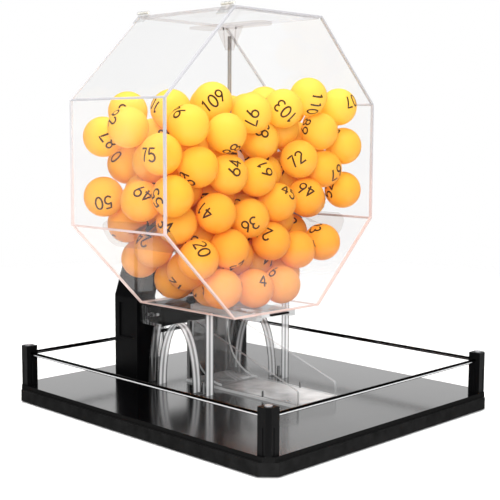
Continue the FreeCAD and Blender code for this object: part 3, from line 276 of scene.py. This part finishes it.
def clear_sheet(name, tint, haze, gloss, low_reflection_veil=0.0, edge=None, dark_beyond=None,
                blotch=(40.0, 40.0, 40.0)):
    """Clear cast PMMA: what lies behind shows through. The face turned to the eye mirrors a little,
    more towards grazing sight by Fresnel's law, and carries an uneven haze of static dust, in
    blotches of the given millimetres. Where low_reflection_veil is given, the haze is thicker low down:
    a painted reflection, a whitish veil that pales what lies behind. An edge is (axis, along, clear
    share, stops, middle, half): the sheet's cut edges are where its own normal leaves that axis, or
    lies along it, and they carry painted stripes of light and shade that glow a little, ramped by
    their distance from the middle in halves. Beyond the depth dark_beyond, in metres along Y, a
    thick sheet's see-through colour is darkened in streaks: painted shade that stands for the black
    of what it stands against."""
    made, tree = blank(name)
    coords = add(tree, "ShaderNodeTexCoord")
    place = coords.outputs["Object"]
    behind = add(tree, "ShaderNodeNewGeometry").outputs["Backfacing"]
    near = add(tree, "ShaderNodeMath", {0: 1.0, 1: behind}, operation="SUBTRACT")
    rim = add(tree, "ShaderNodeFresnel", {"IOR": ACRYLIC_IOR})
    faces = add(tree, "ShaderNodeMath", {0: rim, 1: gloss}, operation="MULTIPLY", use_clamp=True)
    shine = add(tree, "ShaderNodeMath", {0: faces, 1: near}, operation="MULTIPLY")
    spread = add(tree, "ShaderNodeMapping", {"Vector": place, "Scale": [pattern(mm) for mm in blotch]})
    cloud = add(tree, "ShaderNodeTexNoise", {"Vector": spread, "Scale": 1.0, "Detail": 4.0})
    film = add(tree, "ShaderNodeMapRange", {
        "Value": cloud, "From Min": 0.3, "From Max": 0.7, "To Min": 0.5 * haze, "To Max": 1.5 * haze})
    if low_reflection_veil:
        # Painted reflection: more white haze low on the sheet, a veil that pales what lies behind.
        height = add(tree, "ShaderNodeSeparateXYZ", {0: place}).outputs["Z"]
        painted_low_veil = add(tree, "ShaderNodeMapRange", {
            "Value": height, "From Min": 140 * MM, "From Max": 165 * MM,
            "To Min": low_reflection_veil, "To Max": 0.0})
        film = add(tree, "ShaderNodeMath", {0: film, 1: painted_low_veil}, operation="ADD")
    dusty = add(tree, "ShaderNodeMath", {0: film, 1: near}, operation="MULTIPLY")
    through = add(tree, "ShaderNodeBsdfTransparent", {"Color": linear(tint)})
    if dark_beyond:
        # Painted shade: beyond the given depth the see-through colour is darkened in upright streaks,
        # standing for the black parts behind.
        deep = add(tree, "ShaderNodeSeparateXYZ", {0: place}).outputs["Y"]
        inside = add(tree, "ShaderNodeMapRange", {
            "Value": deep, "From Min": dark_beyond, "From Max": dark_beyond + 4 * MM})
        upright = add(tree, "ShaderNodeMapping", {
            "Vector": place, "Scale": (pattern(2.5), pattern(2.5), pattern(50))})
        streak = add(tree, "ShaderNodeTexNoise", {"Vector": upright, "Scale": 1.0})
        streak = add(tree, "ShaderNodeMapRange", {
            "Value": streak, "From Min": 0.35, "From Max": 0.6, "To Min": 0.4})
        black = add(tree, "ShaderNodeMath", {0: inside, 1: streak}, operation="MULTIPLY")
        painted_dark_tint = add(tree, "ShaderNodeMix", {
            MIX_SHARE: black, MIX_A: linear(tint), MIX_B: linear("#4C4C4C")}, data_type="RGBA")
        through = add(tree, "ShaderNodeBsdfTransparent", {"Color": painted_dark_tint.outputs[MIXED]})
    dust = add(tree, "ShaderNodeBsdfDiffuse", {"Color": linear("#F2F2F2")})
    mirror = add(tree, "ShaderNodeBsdfGlossy", {"Color": linear("#FFFFFF"), "Roughness": 0.03})
    sheet = add(tree, "ShaderNodeMixShader", {0: dusty, 1: through, 2: dust})
    sheet = add(tree, "ShaderNodeMixShader", {0: shine, 1: sheet, 2: mirror})
    if edge:
        axis, along, clear_share, stops, middle, half = edge
        across = add(tree, "ShaderNodeSeparateXYZ", {0: coords.outputs["Normal"]}).outputs[axis]
        size = add(tree, "ShaderNodeMath", {0: across}, operation="ABSOLUTE")
        cut = add(tree, "ShaderNodeMapRange", {
            "Value": size, "From Min": 0.75, "From Max": 0.9,
            "To Min": 0.0 if along else 1.0, "To Max": 1.0 if along else 0.0})
        depth = add(tree, "ShaderNodeSeparateXYZ", {0: place}).outputs[axis]
        offset = add(tree, "ShaderNodeMath", {
            0: depth, 1: 1 / half, 2: -middle / half}, operation="MULTIPLY_ADD")
        offset = add(tree, "ShaderNodeMath", {0: offset}, operation="ABSOLUTE")
        # Painted light and shade: the ramp colours the cut edge in stripes, and emission makes them glow
        # though no lamp is there.
        stripes = add(tree, "ShaderNodeValToRGB", {"Fac": offset}, stops)
        glow = add(tree, "ShaderNodeBsdfPrincipled", {
            "Base Color": stripes, "Roughness": 0.35, "IOR": ACRYLIC_IOR, "Emission Color": stripes,
            "Emission Strength": 0.15})
        seen = add(tree, "ShaderNodeMixShader", {0: clear_share, 1: glow, 2: through})
        sheet = add(tree, "ShaderNodeMixShader", {0: cut, 1: sheet, 2: seen})
    add(tree, "ShaderNodeOutputMaterial", {"Surface": sheet})
    return made


def cut_edge(name, cool, warm):
    """Flame-polished PMMA edge: a pale line with a painted glow from emission, standing for the light
    the sheet gathers, and a painted pink reflection of the balls low down, where they lie against it."""
    made, tree = blank(name)
    place = add(tree, "ShaderNodeTexCoord").outputs["Object"]
    height = add(tree, "ShaderNodeSeparateXYZ", {0: place}).outputs["Z"]
    # Painted reflection: the edge turns pink low down, the colour of the balls, by height alone.
    painted_ball_reflection = add(tree, "ShaderNodeMapRange", {
        "Value": height, "From Min": 170 * MM, "From Max": 270 * MM, "To Min": 1.0, "To Max": 0.0})
    tone = add(tree, "ShaderNodeMix", {
        MIX_SHARE: painted_ball_reflection, MIX_A: linear(cool), MIX_B: linear(warm)}, data_type="RGBA")
    # Painted light: emission makes the edge glow though no lamp is there.
    polish = add(tree, "ShaderNodeBsdfPrincipled", {
        "Base Color": tone.outputs[MIXED], "Roughness": 0.25, "IOR": ACRYLIC_IOR,
        "Emission Color": tone.outputs[MIXED], "Emission Strength": 0.65})
    through = add(tree, "ShaderNodeBsdfTransparent", {"Color": linear("#F4F3F3")})
    cloud = add(tree, "ShaderNodeTexNoise", {"Vector": place, "Scale": pattern(60.0)})
    share = add(tree, "ShaderNodeMapRange", {
        "Value": cloud, "From Min": 0.3, "From Max": 0.7, "To Min": 0.75, "To Max": 0.9})
    line_of_light = add(tree, "ShaderNodeMixShader", {0: share, 1: through, 2: polish})
    add(tree, "ShaderNodeOutputMaterial", {"Surface": line_of_light})
    return made


def celluloid_ball():
    """Thin celluloid shell: about half of the light bounces off and half passes through, so a ball
    glows and its neighbours warm it. Its colour is painted light and shade by height: lemon at the
    top of the heap, deeper orange further down."""
    made, tree = blank("celluloid ball")
    place = add(tree, "ShaderNodeTexCoord").outputs["Object"]
    height = add(tree, "ShaderNodeSeparateXYZ", {0: place}).outputs["Z"]
    # Painted light and shade: balls higher in the heap are coloured lighter, lower ones deeper orange.
    lift = add(tree, "ShaderNodeMapRange", {
        "Value": height, "From Min": 105 * MM, "From Max": 325 * MM})
    ramp = add(tree, "ShaderNodeValToRGB", {"Fac": lift},
               [(0.0, "#FFAE48"), (0.35, "#FFBC3C"), (0.7, "#FFCE42"), (1.0, "#FFDF62")])
    each = add(tree, "ShaderNodeAttribute", attribute_name="ball_tint").outputs["Fac"]
    tone = add(tree, "ShaderNodeMix", {
        MIX_SHARE: each, MIX_A: ramp, MIX_B: linear("#FFDC62")}, data_type="RGBA").outputs[MIXED]
    satin = add(tree, "ShaderNodeTexNoise", {"Vector": place, "Scale": pattern(8.0)})
    rough = add(tree, "ShaderNodeMapRange", {"Value": satin, "To Min": 0.3, "To Max": 0.55})
    peel = add(tree, "ShaderNodeTexNoise", {"Vector": place, "Scale": pattern(2.0)})
    bump = add(tree, "ShaderNodeBump", {"Height": peel, "Strength": 0.15, "Distance": 0.02 * MM})
    shell = add(tree, "ShaderNodeBsdfPrincipled", {
        "Base Color": tone, "Roughness": rough, "Normal": bump, "IOR": 1.48})
    passing = add(tree, "ShaderNodeBsdfTranslucent", {"Color": tone})
    glow = add(tree, "ShaderNodeMixShader", {0: 0.48, 1: shell, 2: passing})
    add(tree, "ShaderNodeOutputMaterial", {"Surface": glow})
    return made


def printed_ink():
    """Pad-printed dark brown ink, a little thin where the pad let go."""
    made, tree = blank("pad printed ink")
    place = add(tree, "ShaderNodeTexCoord").outputs["Object"]
    worn = add(tree, "ShaderNodeTexNoise", {"Vector": place, "Scale": pattern(1.6)})
    tone = add(tree, "ShaderNodeMix", {
        MIX_SHARE: worn, MIX_A: linear("#1E0E04"), MIX_B: linear("#4A2A0C")}, data_type="RGBA")
    ink = add(tree, "ShaderNodeBsdfPrincipled", {
        "Base Color": tone.outputs[MIXED], "Roughness": 0.5, "IOR": 1.5})
    add(tree, "ShaderNodeOutputMaterial", {"Surface": ink})
    return made


def studio_paper():
    """Pale seamless paper that fades into the white of the room away from the machine."""
    made, tree = blank("seamless paper")
    place = add(tree, "ShaderNodeTexCoord").outputs["Object"]
    cloud = add(tree, "ShaderNodeTexNoise", {"Vector": place, "Scale": pattern(300.0)})
    tone = add(tree, "ShaderNodeMix", {
        MIX_SHARE: cloud, MIX_A: linear("#F2F2F2"), MIX_B: linear("#FBFBFA")}, data_type="RGBA")
    away = add(tree, "ShaderNodeVectorMath", {0: place}, operation="LENGTH").outputs["Value"]
    fade = add(tree, "ShaderNodeMapRange", {
        "Value": away, "From Min": 0.45, "From Max": 1.3, "To Min": 1.0, "To Max": 0.0})
    paper = add(tree, "ShaderNodeBsdfPrincipled", {
        "Base Color": tone.outputs[MIXED], "Roughness": 0.8, "Alpha": fade})
    add(tree, "ShaderNodeOutputMaterial", {"Surface": paper})
    return made


BOARD = painted_fibreboard()
SHEET_BLACK = cast_black_acrylic()
EXTRUSION = extruded_black()
STAND_BLACK = moulded_black("satin black casting", "#030304", 0.35, 0.9)
KNOB_BLACK = moulded_black("polished phenolic", "#030303", 0.15, 3.0)
PULL_BLACK = moulded_black("moulded pull", "#050505", 0.3, 1.0)
BRACKET_BLACK = moulded_black("black lacquered bracket", "#060606", 0.25, 1.2)
CAP_GREY = grey_cap()
ROD_CHROME = chromed_rod()
STEEL = turned_metal("brushed steel rod", "#B0B0B0", 0.3, 0.5, "Z", metallic=0.5)
SHAFT = turned_metal("turned steel", "#A9AAAC", 0.15, 0.35, "Y")
CRANK = turned_metal("nickel-plated crank", "#C2C0BB", 0.06, 0.2, "Z")
BRONZE = turned_metal("sintered bronze", "#9C7A45", 0.25, 0.5, "Y")
SCREW = turned_metal("blackened screw", "#3A3838", 0.2, 0.45, "Z")
RUBBER = soft_rubber()
HUB_NYLON = natural_nylon()
DRUM_CLEAR = clear_sheet("clear drum sheet", "#FEFEFE", haze=0.008, gloss=0.45)
DRUM_SIDE_CLEAR = clear_sheet("dusty drum side", "#FEFEFE", haze=0.055, gloss=0.45)
# The lower left panel's haze is partly dust and partly a painted veil of reflected light, warm tinted,
# that pales the balls behind it.
DRUM_LOW_CLEAR = clear_sheet("dusty drum underside", "#FEFDFC", haze=0.06, gloss=0.45)
# The front sheet's extra haze low down is a painted reflection.
DRUM_FRONT_CLEAR = clear_sheet("clear front sheet", "#FEFEFE", haze=0.008, gloss=0.45, low_reflection_veil=0.11)
# Tones for cut edges, painted light and shade: pale bands of gathered light and dark outlines; the dark
# set, for the left chute wall, is dimmer.
THICK_STRIPES = [(0.0, "#8A8B8C"), (0.18, "#8A8B8C"), (0.3, "#E4E5E6"), (0.62, "#D8D9DA"),
                 (0.8, "#5C5D5E"), (1.0, "#3C3D3E")]
THIN_STRIPES = [(0.0, "#C4C5C5"), (0.6, "#B8B9B9"), (1.0, "#8E8F8F")]
DARK_STRIPES = [(0.0, "#7E7F7F"), (0.6, "#747575"), (1.0, "#5C5D5D")]


def thin_edge(axis, clear_share, stops=THIN_STRIPES, along=False):
    """Edge of a sheet too thin to show stripes: the ramp runs over a whole metre from the machine's
    middle, so that the edge carries little but its first tone."""
    return axis, along, clear_share, stops, 0.0, 1.0


def thick_clear(name, node):
    """Clear plate whose cut edges carry painted stripes of light and shade across its thickness, which
    lies along X.
    """
    low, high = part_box(node)
    middle, half = (low[0] + high[0]) / 2, (high[0] - low[0]) / 2
    edge = ("X", False, 0.25, THICK_STRIPES, middle, half)
    return clear_sheet(name, "#F6F6F6", haze=0.006, gloss=0.3, edge=edge, dark_beyond=75 * MM)


LEFT_CLEAR = thick_clear("thick clear plate, left", "side_plate_left")
RIGHT_CLEAR = thick_clear("thick clear plate, right", "side_plate_right")
WALL_CLEAR = clear_sheet("clear chute wall", "#F8F8F8", haze=0.02, gloss=0.6, edge=thin_edge("X", 0.7))
WALL_DARK_CLEAR = clear_sheet("clear chute wall, dark edge", "#F8F8F8", haze=0.01, gloss=0.5,
                              edge=thin_edge("X", 0.4, DARK_STRIPES))
GATE_CLEAR = clear_sheet("clear gate sheet", "#F6F6F6", haze=0.07, gloss=0.8, edge=thin_edge("Z", 0.3))
# The bent sheet's haze lies in thin streaks across X: painted highlights along its bend, over a little
# dust.
SLIDE_CLEAR = clear_sheet("bent clear sheet", "#F2F2F2", haze=0.07, gloss=2.0,
                          edge=thin_edge("X", 0.15, along=True), blotch=(6.0, 90.0, 90.0))
HINGE_CLEAR = clear_sheet("clear moulded hinge", "#F6F6F6", haze=0.04, gloss=0.8)
# The paddles' faint warm tint is a painted reflection of the orange balls.
PADDLE_CLEAR = clear_sheet("moulded clear paddle", "#F7F5F4", haze=0.012, gloss=0.25)
FROSTED = clear_sheet("frosted chute floor", "#E9E9E9", haze=0.5, gloss=0.6, edge=thin_edge("Z", 0.4))
# Painted light and shade: the far edges get a lighter copy of the near edges' tones.
EDGE = cut_edge("polished acrylic edge", "#9D9C9F", "#B8A19A")
EDGE_FAR = cut_edge("far polished acrylic edge", "#AFAEB0", "#BDA9A3")
BALL = celluloid_ball()
INK = printed_ink()

NODE_FINISH = {
    "base_board": BOARD, "base_plate": SHEET_BLACK, "rubber_feet": RUBBER, "post_caps": CAP_GREY,
    "base_screws": SCREW, "stand_screws": SCREW, "drum_screws": SCREW, "plate_screws": SCREW,
    "chute_screws": SCREW, "grub_screws": SCREW, "bearing_front": BRONZE, "bearing_rear": BRONZE,
    "bearing_head": STAND_BLACK, "stand_crossbar": STAND_BLACK, "stand_leg_left": STAND_BLACK,
    "stand_leg_right": STAND_BLACK, "plate_brackets": BRACKET_BLACK, "loading_lid": DRUM_CLEAR,
    "lid_hinge_fixed": HINGE_CLEAR, "lid_hinge_moving": HINGE_CLEAR, "lid_hinge_pins": HUB_NYLON,
    "stirrer_shaft": SHAFT, "shaft_collar": SHAFT, "stirrer_hub": HUB_NYLON, "stirrer_rods": STEEL,
    "paddle_top": PADDLE_CLEAR, "paddle_left": PADDLE_CLEAR, "paddle_right": PADDLE_CLEAR,
    "crank_arm": CRANK, "knob_pin": SHAFT, "crank_knob": KNOB_BLACK, "gate_pull": PULL_BLACK,
    "side_plate_left": LEFT_CLEAR, "side_plate_right": RIGHT_CLEAR, "chute_floor": FROSTED,
    "drum_front_panel": DRUM_FRONT_CLEAR, "drum_left_panel": DRUM_SIDE_CLEAR,
    "drum_lower_left_panel": DRUM_LOW_CLEAR,
    "chute_wall_left": WALL_DARK_CLEAR, "chute_wall_right": WALL_CLEAR, "ball_slide": SLIDE_CLEAR,
    "outlet_gate": GATE_CLEAR, "gate_guides": GATE_CLEAR,
}
for name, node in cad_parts.items():
    if name.startswith("post_") and name != "post_caps":
        finish = EXTRUSION
    elif name.startswith("guard_rod"):
        finish = ROD_CHROME
    elif name.startswith("drum_") and name.endswith("_panel") and name not in NODE_FINISH:
        finish = DRUM_CLEAR
    elif name.startswith("balls_"):
        finish = BALL
    else:
        finish = NODE_FINISH[name]
    node.data.materials.clear()
    node.data.materials.append(finish)


# ------------------------------------------------------------------ meshes from arrays
def new_mesh(name, points, face_groups, finish, smooth):
    """An object from an array of points in millimetres and one or more arrays of faces."""
    mesh = bpy.data.meshes.new(name)
    faces = [face for group in face_groups for face in group.tolist()]
    mesh.from_pydata((points * MM).tolist(), [], faces)
    mesh.update()
    mesh.polygons.foreach_set("use_smooth", np.full(len(mesh.polygons), smooth))
    mesh.materials.append(finish)
    made = bpy.data.objects.new(name, mesh)
    bpy.context.scene.collection.objects.link(made)
    return made


def piece_of(body, name, points, face_groups, finish, smooth=False):
    """A new mesh that rides on one of the bodies."""
    piece = new_mesh(name, points, face_groups, finish, smooth)
    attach(piece, body)
    return piece


def quad_grid(rows, columns, wrap_rows, wrap_columns):
    """Faces of a grid of points numbered row by row, closed on itself where wrap says so."""
    r = np.arange(rows if wrap_rows else rows - 1)[:, None]
    c = np.arange(columns if wrap_columns else columns - 1)[None, :]
    r2, c2 = (r + 1) % rows, (c + 1) % columns
    corners = [r * columns + c, r * columns + c2, r2 * columns + c2, r2 * columns + c]
    return np.stack(corners, -1).reshape(-1, 4)


# ------------------------------------------------------------------ balls
def ball_centres(node):
    """Centres of a node's balls, in millimetres: each outer face's middle less one radius along
    its normal lands on its ball's centre, so the fullest clusters of such points are the centres."""
    cell_size, cluster_reach, fewest = 3, 4, 4
    mesh = node.data
    middles = np.empty(len(mesh.polygons) * 3)
    normals = np.empty(len(mesh.polygons) * 3)
    mesh.polygons.foreach_get("center", middles)
    mesh.polygons.foreach_get("normal", normals)
    guesses = middles.reshape(-1, 3) / MM - BALL_RADIUS * normals.reshape(-1, 3)
    cells = np.round(guesses / cell_size).astype(int)
    where, tally = np.unique(cells, axis=0, return_inverse=True, return_counts=True)[1:]
    where = where.reshape(-1)
    found = []
    left = np.ones(len(guesses), bool)
    for cell in np.argsort(-tally):
        if len(found) == BALLS_PER_NODE:
            break
        members = guesses[(where == cell) & left]
        if len(members) < fewest:
            continue
        middle = np.median(members, axis=0)
        near = left & (np.linalg.norm(guesses - middle, axis=1) < cluster_reach)
        found.append(guesses[near].mean(axis=0))
        left &= ~near
    return np.array(sorted(found, key=lambda p: (round(p[2], 1), p[0])))


def sphere_shells(centres, around=32, along=16):
    """Unit directions on a longitude and latitude grid, times the radius, plus each centre. Also
    gives the faces, in fours and in threes, and how many points each ball has."""
    theta = np.linspace(0, TURN, around, endpoint=False)[None, :]
    phi = np.linspace(0, math.pi, along + 1)[1:-1, None]
    rings = np.stack([np.sin(phi) * np.cos(theta), np.sin(phi) * np.sin(theta),
                      np.cos(phi) + 0 * theta], -1).reshape(-1, 3)
    unit = np.concatenate([[[0, 0, 1.0]], rings, [[0, 0, -1.0]]])
    count = len(unit)
    ring = quad_grid(along - 1, around, False, True)[:, ::-1] + 1
    turn = np.arange(around)
    top = np.stack([0 * turn, 1 + turn, 1 + (turn + 1) % around], -1)
    last = 1 + (along - 2) * around
    bottom = np.stack([0 * turn + count - 1, last + (turn + 1) % around, last + turn], -1)
    points = (centres[:, None, :] + BALL_RADIUS * unit[None]).reshape(-1, 3)
    shift = (np.arange(len(centres)) * count)[:, None, None]
    quads = (ring[None] + shift).reshape(-1, 4)
    tris = (np.concatenate([top, bottom])[None] + shift).reshape(-1, 3)
    return points, quads, tris, count


def numbered_balls(name, node_name):
    """All balls of one node as smooth spheres, each with its own slight tint."""
    centres = ball_centres(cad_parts[node_name])
    points, quads, tris, count = sphere_shells(centres)
    piece = piece_of("machine", name, points, (quads, tris), BALL, True)
    draw = np.random.default_rng(len(name))
    tint = np.repeat(draw.uniform(0.0, TINT_SPREAD, len(centres)), count).astype(np.float32)
    piece.data.attributes.new("ball_tint", "FLOAT", "POINT").data.foreach_set("value", tint)
    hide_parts(node_name)
    return centres


# ------------------------------------------------------------------ printed numbers
def arc(cx, cy, rx, ry, start, stop, steps):
    """Points on an ellipse between two angles in degrees."""
    a = np.radians(np.linspace(start, stop, steps))
    return np.stack([cx + rx * np.cos(a), cy + ry * np.sin(a)], -1)


def line(*points):
    """Straight run, cut into short steps so that it can lie on a ball."""
    points = np.array(points, float)
    parts = [np.linspace(a, b, 5)[:-1] for a, b in zip(points[:-1], points[1:])]
    return np.concatenate(parts + [points[-1:]])


# Each figure is one or two strokes in a box about 0.56 wide and 1 high, middle at the origin
FIGURES = {
    "0": [arc(0, 0, 0.27, 0.5, 90, 450, 25)],
    "1": [line((-0.14, 0.3), (0.05, 0.5), (0.05, -0.5))],
    "2": [np.concatenate([arc(0, 0.23, 0.26, 0.27, 170, -35, 13),
                          line((0.16, 0.05), (-0.27, -0.5), (0.29, -0.5))])],
    "3": [np.concatenate([arc(-0.02, 0.25, 0.25, 0.25, 150, -80, 12),
                          arc(-0.02, -0.23, 0.28, 0.27, 85, -150, 13)])],
    "4": [line((0.12, -0.5), (0.12, 0.5), (-0.3, -0.2), (0.3, -0.2))],
    "5": [np.concatenate([line((0.24, 0.5), (-0.18, 0.5), (-0.22, 0.07)),
                          arc(-0.02, -0.19, 0.28, 0.31, 125, -150, 14)])],
    "6": [np.concatenate([line((0.14, 0.5), (-0.2, -0.02)), arc(0, -0.22, 0.27, 0.28, 150, -230, 20)])],
    "7": [line((-0.27, 0.5), (0.27, 0.5), (-0.06, -0.5))],
    "8": [arc(0, 0.26, 0.22, 0.24, 90, 450, 19), arc(0, -0.24, 0.27, 0.26, 90, 450, 21)],
    "9": [np.concatenate([line((-0.14, -0.5), (0.2, 0.02)), arc(0, 0.22, 0.27, 0.28, -30, 350, 20)])],
}


# The print's sizes in millimetres; the spacing of figures is a share of their height
FIGURE_HEIGHT = 12.5
FIGURE_SPACING = 0.74
HALF_STROKE = 0.95
INK_RADIUS = BALL_RADIUS + 0.07
TINY = 1e-9


def ribbon(stroke, half_width):
    """Left and right rims of a stroke: each point moved half a width along the mean normal of its
    two neighbouring steps."""
    step = np.diff(stroke, axis=0)
    step /= np.maximum(np.linalg.norm(step, axis=1, keepdims=True), TINY)
    before = np.concatenate([step[:1], step])
    after = np.concatenate([step, step[-1:]])
    mean = before + after
    mean /= np.maximum(np.linalg.norm(mean, axis=1, keepdims=True), TINY)
    normal = np.stack([-mean[:, 1], mean[:, 0]], -1)
    return stroke + normal * half_width, stroke - normal * half_width


def print_on_balls(name, centres, first_number):
    """Numbers wrapped on both sides of each ball, most of them facing the front left or the rear
    right. A flat point (u, v) in millimetres goes to the point of the sphere that lies its own
    distance, measured along the surface, from the print's middle."""
    draw = np.random.default_rng(7 + first_number)
    front_left = np.array([-0.9, -0.9, 0.1])
    points, faces = [], []
    for k, centre in enumerate(centres):
        label = str(first_number + k)
        facing = draw.normal(size=3) + front_left
        facing /= np.linalg.norm(facing)
        for way in (1.0, -1.0):
            pole = facing * way
            side = np.cross(pole, draw.normal(size=3))
            side /= np.linalg.norm(side)
            lift = np.cross(pole, side)
            for place, figure in enumerate(label):
                shift = (place - (len(label) - 1) / 2) * FIGURE_SPACING * FIGURE_HEIGHT
                for stroke in FIGURES[figure]:
                    rims = ribbon(stroke * FIGURE_HEIGHT + (shift, 0.0), HALF_STROKE)
                    flat = np.stack(rims, 1).reshape(-1, 2)
                    reach = np.maximum(np.linalg.norm(flat, axis=1, keepdims=True), TINY)
                    bend = reach / BALL_RADIUS
                    along = (flat[:, :1] * side + flat[:, 1:] * lift) / reach
                    on_ball = centre + INK_RADIUS * (np.cos(bend) * pole + np.sin(bend) * along)
                    start = sum(len(p) for p in points)
                    points.append(on_ball)
                    faces.append(quad_grid(len(stroke), 2, False, False) + start)
    piece_of("machine", name, np.concatenate(points), faces, INK)


lower = numbered_balls("celluloid_balls_low", "balls_lower")
upper = numbered_balls("celluloid_balls_high", "balls_upper")
print_on_balls("ball_numbers_low", lower, 1)
print_on_balls("ball_numbers_high", upper, 1 + len(lower))


# ------------------------------------------------------------------ polished edges of the drum
def octagon(distance):
    """Eight corners (x, z) of the octagon whose flats lie at a distance from the shaft."""
    a = math.pi / 8 + np.arange(8) * math.pi / 4
    r = distance / math.cos(math.pi / 8)
    return np.stack([r * np.cos(a), DRUM_AXIS_Z + r * np.sin(a)], -1)


def rim_band(name, y0, y1, finish, width=1.7, proud=0.06):
    """Ring round an end panel: a small rectangle, width by panel thickness, carried round the
    octagon."""
    outer, inner = octagon(DRUM_APOTHEM + proud), octagon(DRUM_APOTHEM - width)
    section = [(outer, y0 - proud), (outer, y1 + proud), (inner, y1 + proud), (inner, y0 - proud)]
    rows = [np.stack([o[:, 0], np.full(8, y), o[:, 1]], -1) for o, y in section]
    points = np.stack(rows, 1).reshape(-1, 3)
    piece_of("machine", name, points, [quad_grid(8, 4, True, True)], finish)


def seam_lines(name, corners, y0, y1, width=1.4, proud=0.06):
    """Thin prisms along the long glued seams: a kite at each corner of the octagon, carried from
    y0 to y1. Two of its sides lie along the panels, and its tip reaches about halfway into the
    glued joint."""
    kite_depth = 1.6
    outer = octagon(DRUM_APOTHEM + proud)
    points, faces = [], []
    for k in corners:
        here, back, ahead = outer[k], outer[k - 1], outer[(k + 1) % 8]
        toward_back = (back - here) / np.linalg.norm(back - here)
        toward_ahead = (ahead - here) / np.linalg.norm(ahead - here)
        inner = here + (toward_back + toward_ahead) * width * kite_depth
        kite = np.array([here, here + toward_ahead * width, inner, here + toward_back * width])
        rows = [np.stack([kite[:, 0], np.full(4, y), kite[:, 1]], -1) for y in (y0, y1)]
        start = 8 * len(points)
        points.append(np.concatenate(rows))
        faces.append(quad_grid(2, 4, False, True) + start)
        faces.append(np.array([[3, 2, 1, 0], [4, 5, 6, 7]]) + start)
    piece_of("machine", name, np.concatenate(points), faces, EDGE)


def lid_rim(name, width=1.2, proud=0.05):
    """Band round the lid's four edges: a small rectangle carried round the lid's outline."""
    x = DRUM_HALF_SIDE - LID_GAP
    y0, y1 = DRUM_FRONT_Y + PANEL + LID_GAP, DRUM_REAR_Y - PANEL - LID_GAP
    top = DRUM_AXIS_Z + DRUM_APOTHEM
    slant = PANEL * math.tan(math.pi / 8)

    def loop(inset, z):
        shrink = slant * (top - z) / PANEL
        side, front, rear = x - inset - shrink, y0 + inset, y1 - inset
        return np.array([[-side, front, z], [side, front, z], [side, rear, z], [-side, rear, z]])

    rows = [loop(-proud, top + proud), loop(width, top + proud), loop(width, top - PANEL - proud),
            loop(-proud, top - PANEL - proud)]
    points = np.stack(rows, 1).reshape(-1, 3)
    piece_of("lid", name, points, [quad_grid(4, 4, True, True)], EDGE_FAR)


rim_band("front_panel_edge", DRUM_FRONT_Y, DRUM_FRONT_Y + PANEL, EDGE)
rim_band("rear_panel_edge", DRUM_REAR_Y - PANEL, DRUM_REAR_Y, EDGE_FAR)
seam_lines("side_panel_seams", (0, 3, 4, 5, 6, 7), DRUM_FRONT_Y + PANEL, DRUM_REAR_Y - PANEL)
lid_rim("lid_edge")


# ------------------------------------------------------------------ studio
FLOOR_HALF = 6000.0
LIT_POINT = (0.0, 0.0, 0.22)
WALL_WAY = (0.7, 0.7, 0.1)


def floor_sheet():
    """Flat square of paper under the feet."""
    corners = np.array([[-1, -1, 0], [1, -1, 0], [1, 1, 0], [-1, 1, 0]], float)
    square = np.array([[0, 1, 2, 3]])
    new_mesh("studio_floor", FLOOR_HALF * corners, [square], studio_paper(), False)


def soft_light(name, place, size, power):
    """Large square lamp, in metres, that looks at the drum and that mirrors don't show."""
    lamp = bpy.data.lights.new(name, "AREA")
    lamp.shape = "SQUARE"
    lamp.size = size
    lamp.energy = power
    made = bpy.data.objects.new(name, lamp)
    bpy.context.scene.collection.objects.link(made)
    made.visible_glossy = False
    made.location = place
    made.rotation_euler = (Vector(LIT_POINT) - Vector(place)).to_track_quat("-Z", "Y").to_euler()


def white_room():
    """A white room. Mirrors in it see a low white wall behind the machine and a dim room elsewhere:
    brightness falls with the angle away from the wall's direction, and with height."""
    world = bpy.data.worlds.new("white room")
    bpy.context.scene.world = world
    world.use_nodes = True
    tree = world.node_tree
    tree.nodes.clear()
    toward = add(tree, "ShaderNodeTexCoord").outputs["Generated"]
    lean = add(tree, "ShaderNodeVectorMath", {0: toward, 1: WALL_WAY}, operation="DOT_PRODUCT")
    facing = add(tree, "ShaderNodeMapRange", {
        "Value": lean.outputs["Value"], "From Min": 0.0, "From Max": 0.6})
    height = add(tree, "ShaderNodeSeparateXYZ", {0: toward}).outputs["Z"]
    low = add(tree, "ShaderNodeMapRange", {
        "Value": height, "From Min": 0.25, "From Max": 0.5, "To Min": 1.0, "To Max": 0.12})
    wall = add(tree, "ShaderNodeMath", {0: facing, 1: low}, operation="MULTIPLY")
    dim = add(tree, "ShaderNodeMapRange", {"Value": wall, "To Min": 0.08, "To Max": 0.82})
    seen = add(tree, "ShaderNodeLightPath").outputs["Is Camera Ray"]
    light = add(tree, "ShaderNodeMath", {0: dim, 1: seen}, operation="MAXIMUM")
    back = add(tree, "ShaderNodeBackground", {"Color": linear("#FFFFFF"), "Strength": light})
    add(tree, "ShaderNodeOutputWorld", {"Surface": back})


def camera():
    """Camera at the front left, a little above the drum's middle: the three unit axes of its own
    frame, and its place in metres."""
    right = (0.70328, -0.71089, 0.00487)
    up = (0.07436, 0.08036, 0.99399)
    back = (-0.70701, -0.69869, 0.10938)
    place = (-0.76747, -0.75650, 0.28097)
    data = bpy.data.cameras.new("camera")
    data.sensor_width = 36.0
    data.lens = 75.572
    made = bpy.data.objects.new("camera", data)
    bpy.context.scene.collection.objects.link(made)
    rows = [(right[i], up[i], back[i], place[i]) for i in range(3)] + [(0, 0, 0, 1)]
    made.matrix_world = Matrix(rows)
    bpy.context.scene.camera = made


floor_sheet()
soft_light("top softbox", place=(0.0, 0.0, 2.0), size=1.8, power=66)
soft_light("camera side softbox", place=(-1.4, -1.5, 1.0), size=1.4, power=72)
white_room()
camera()
# Colours come out as they are given above
bpy.context.scene.view_settings.view_transform = "Standard"
bpy.context.scene.view_settings.look = "None"

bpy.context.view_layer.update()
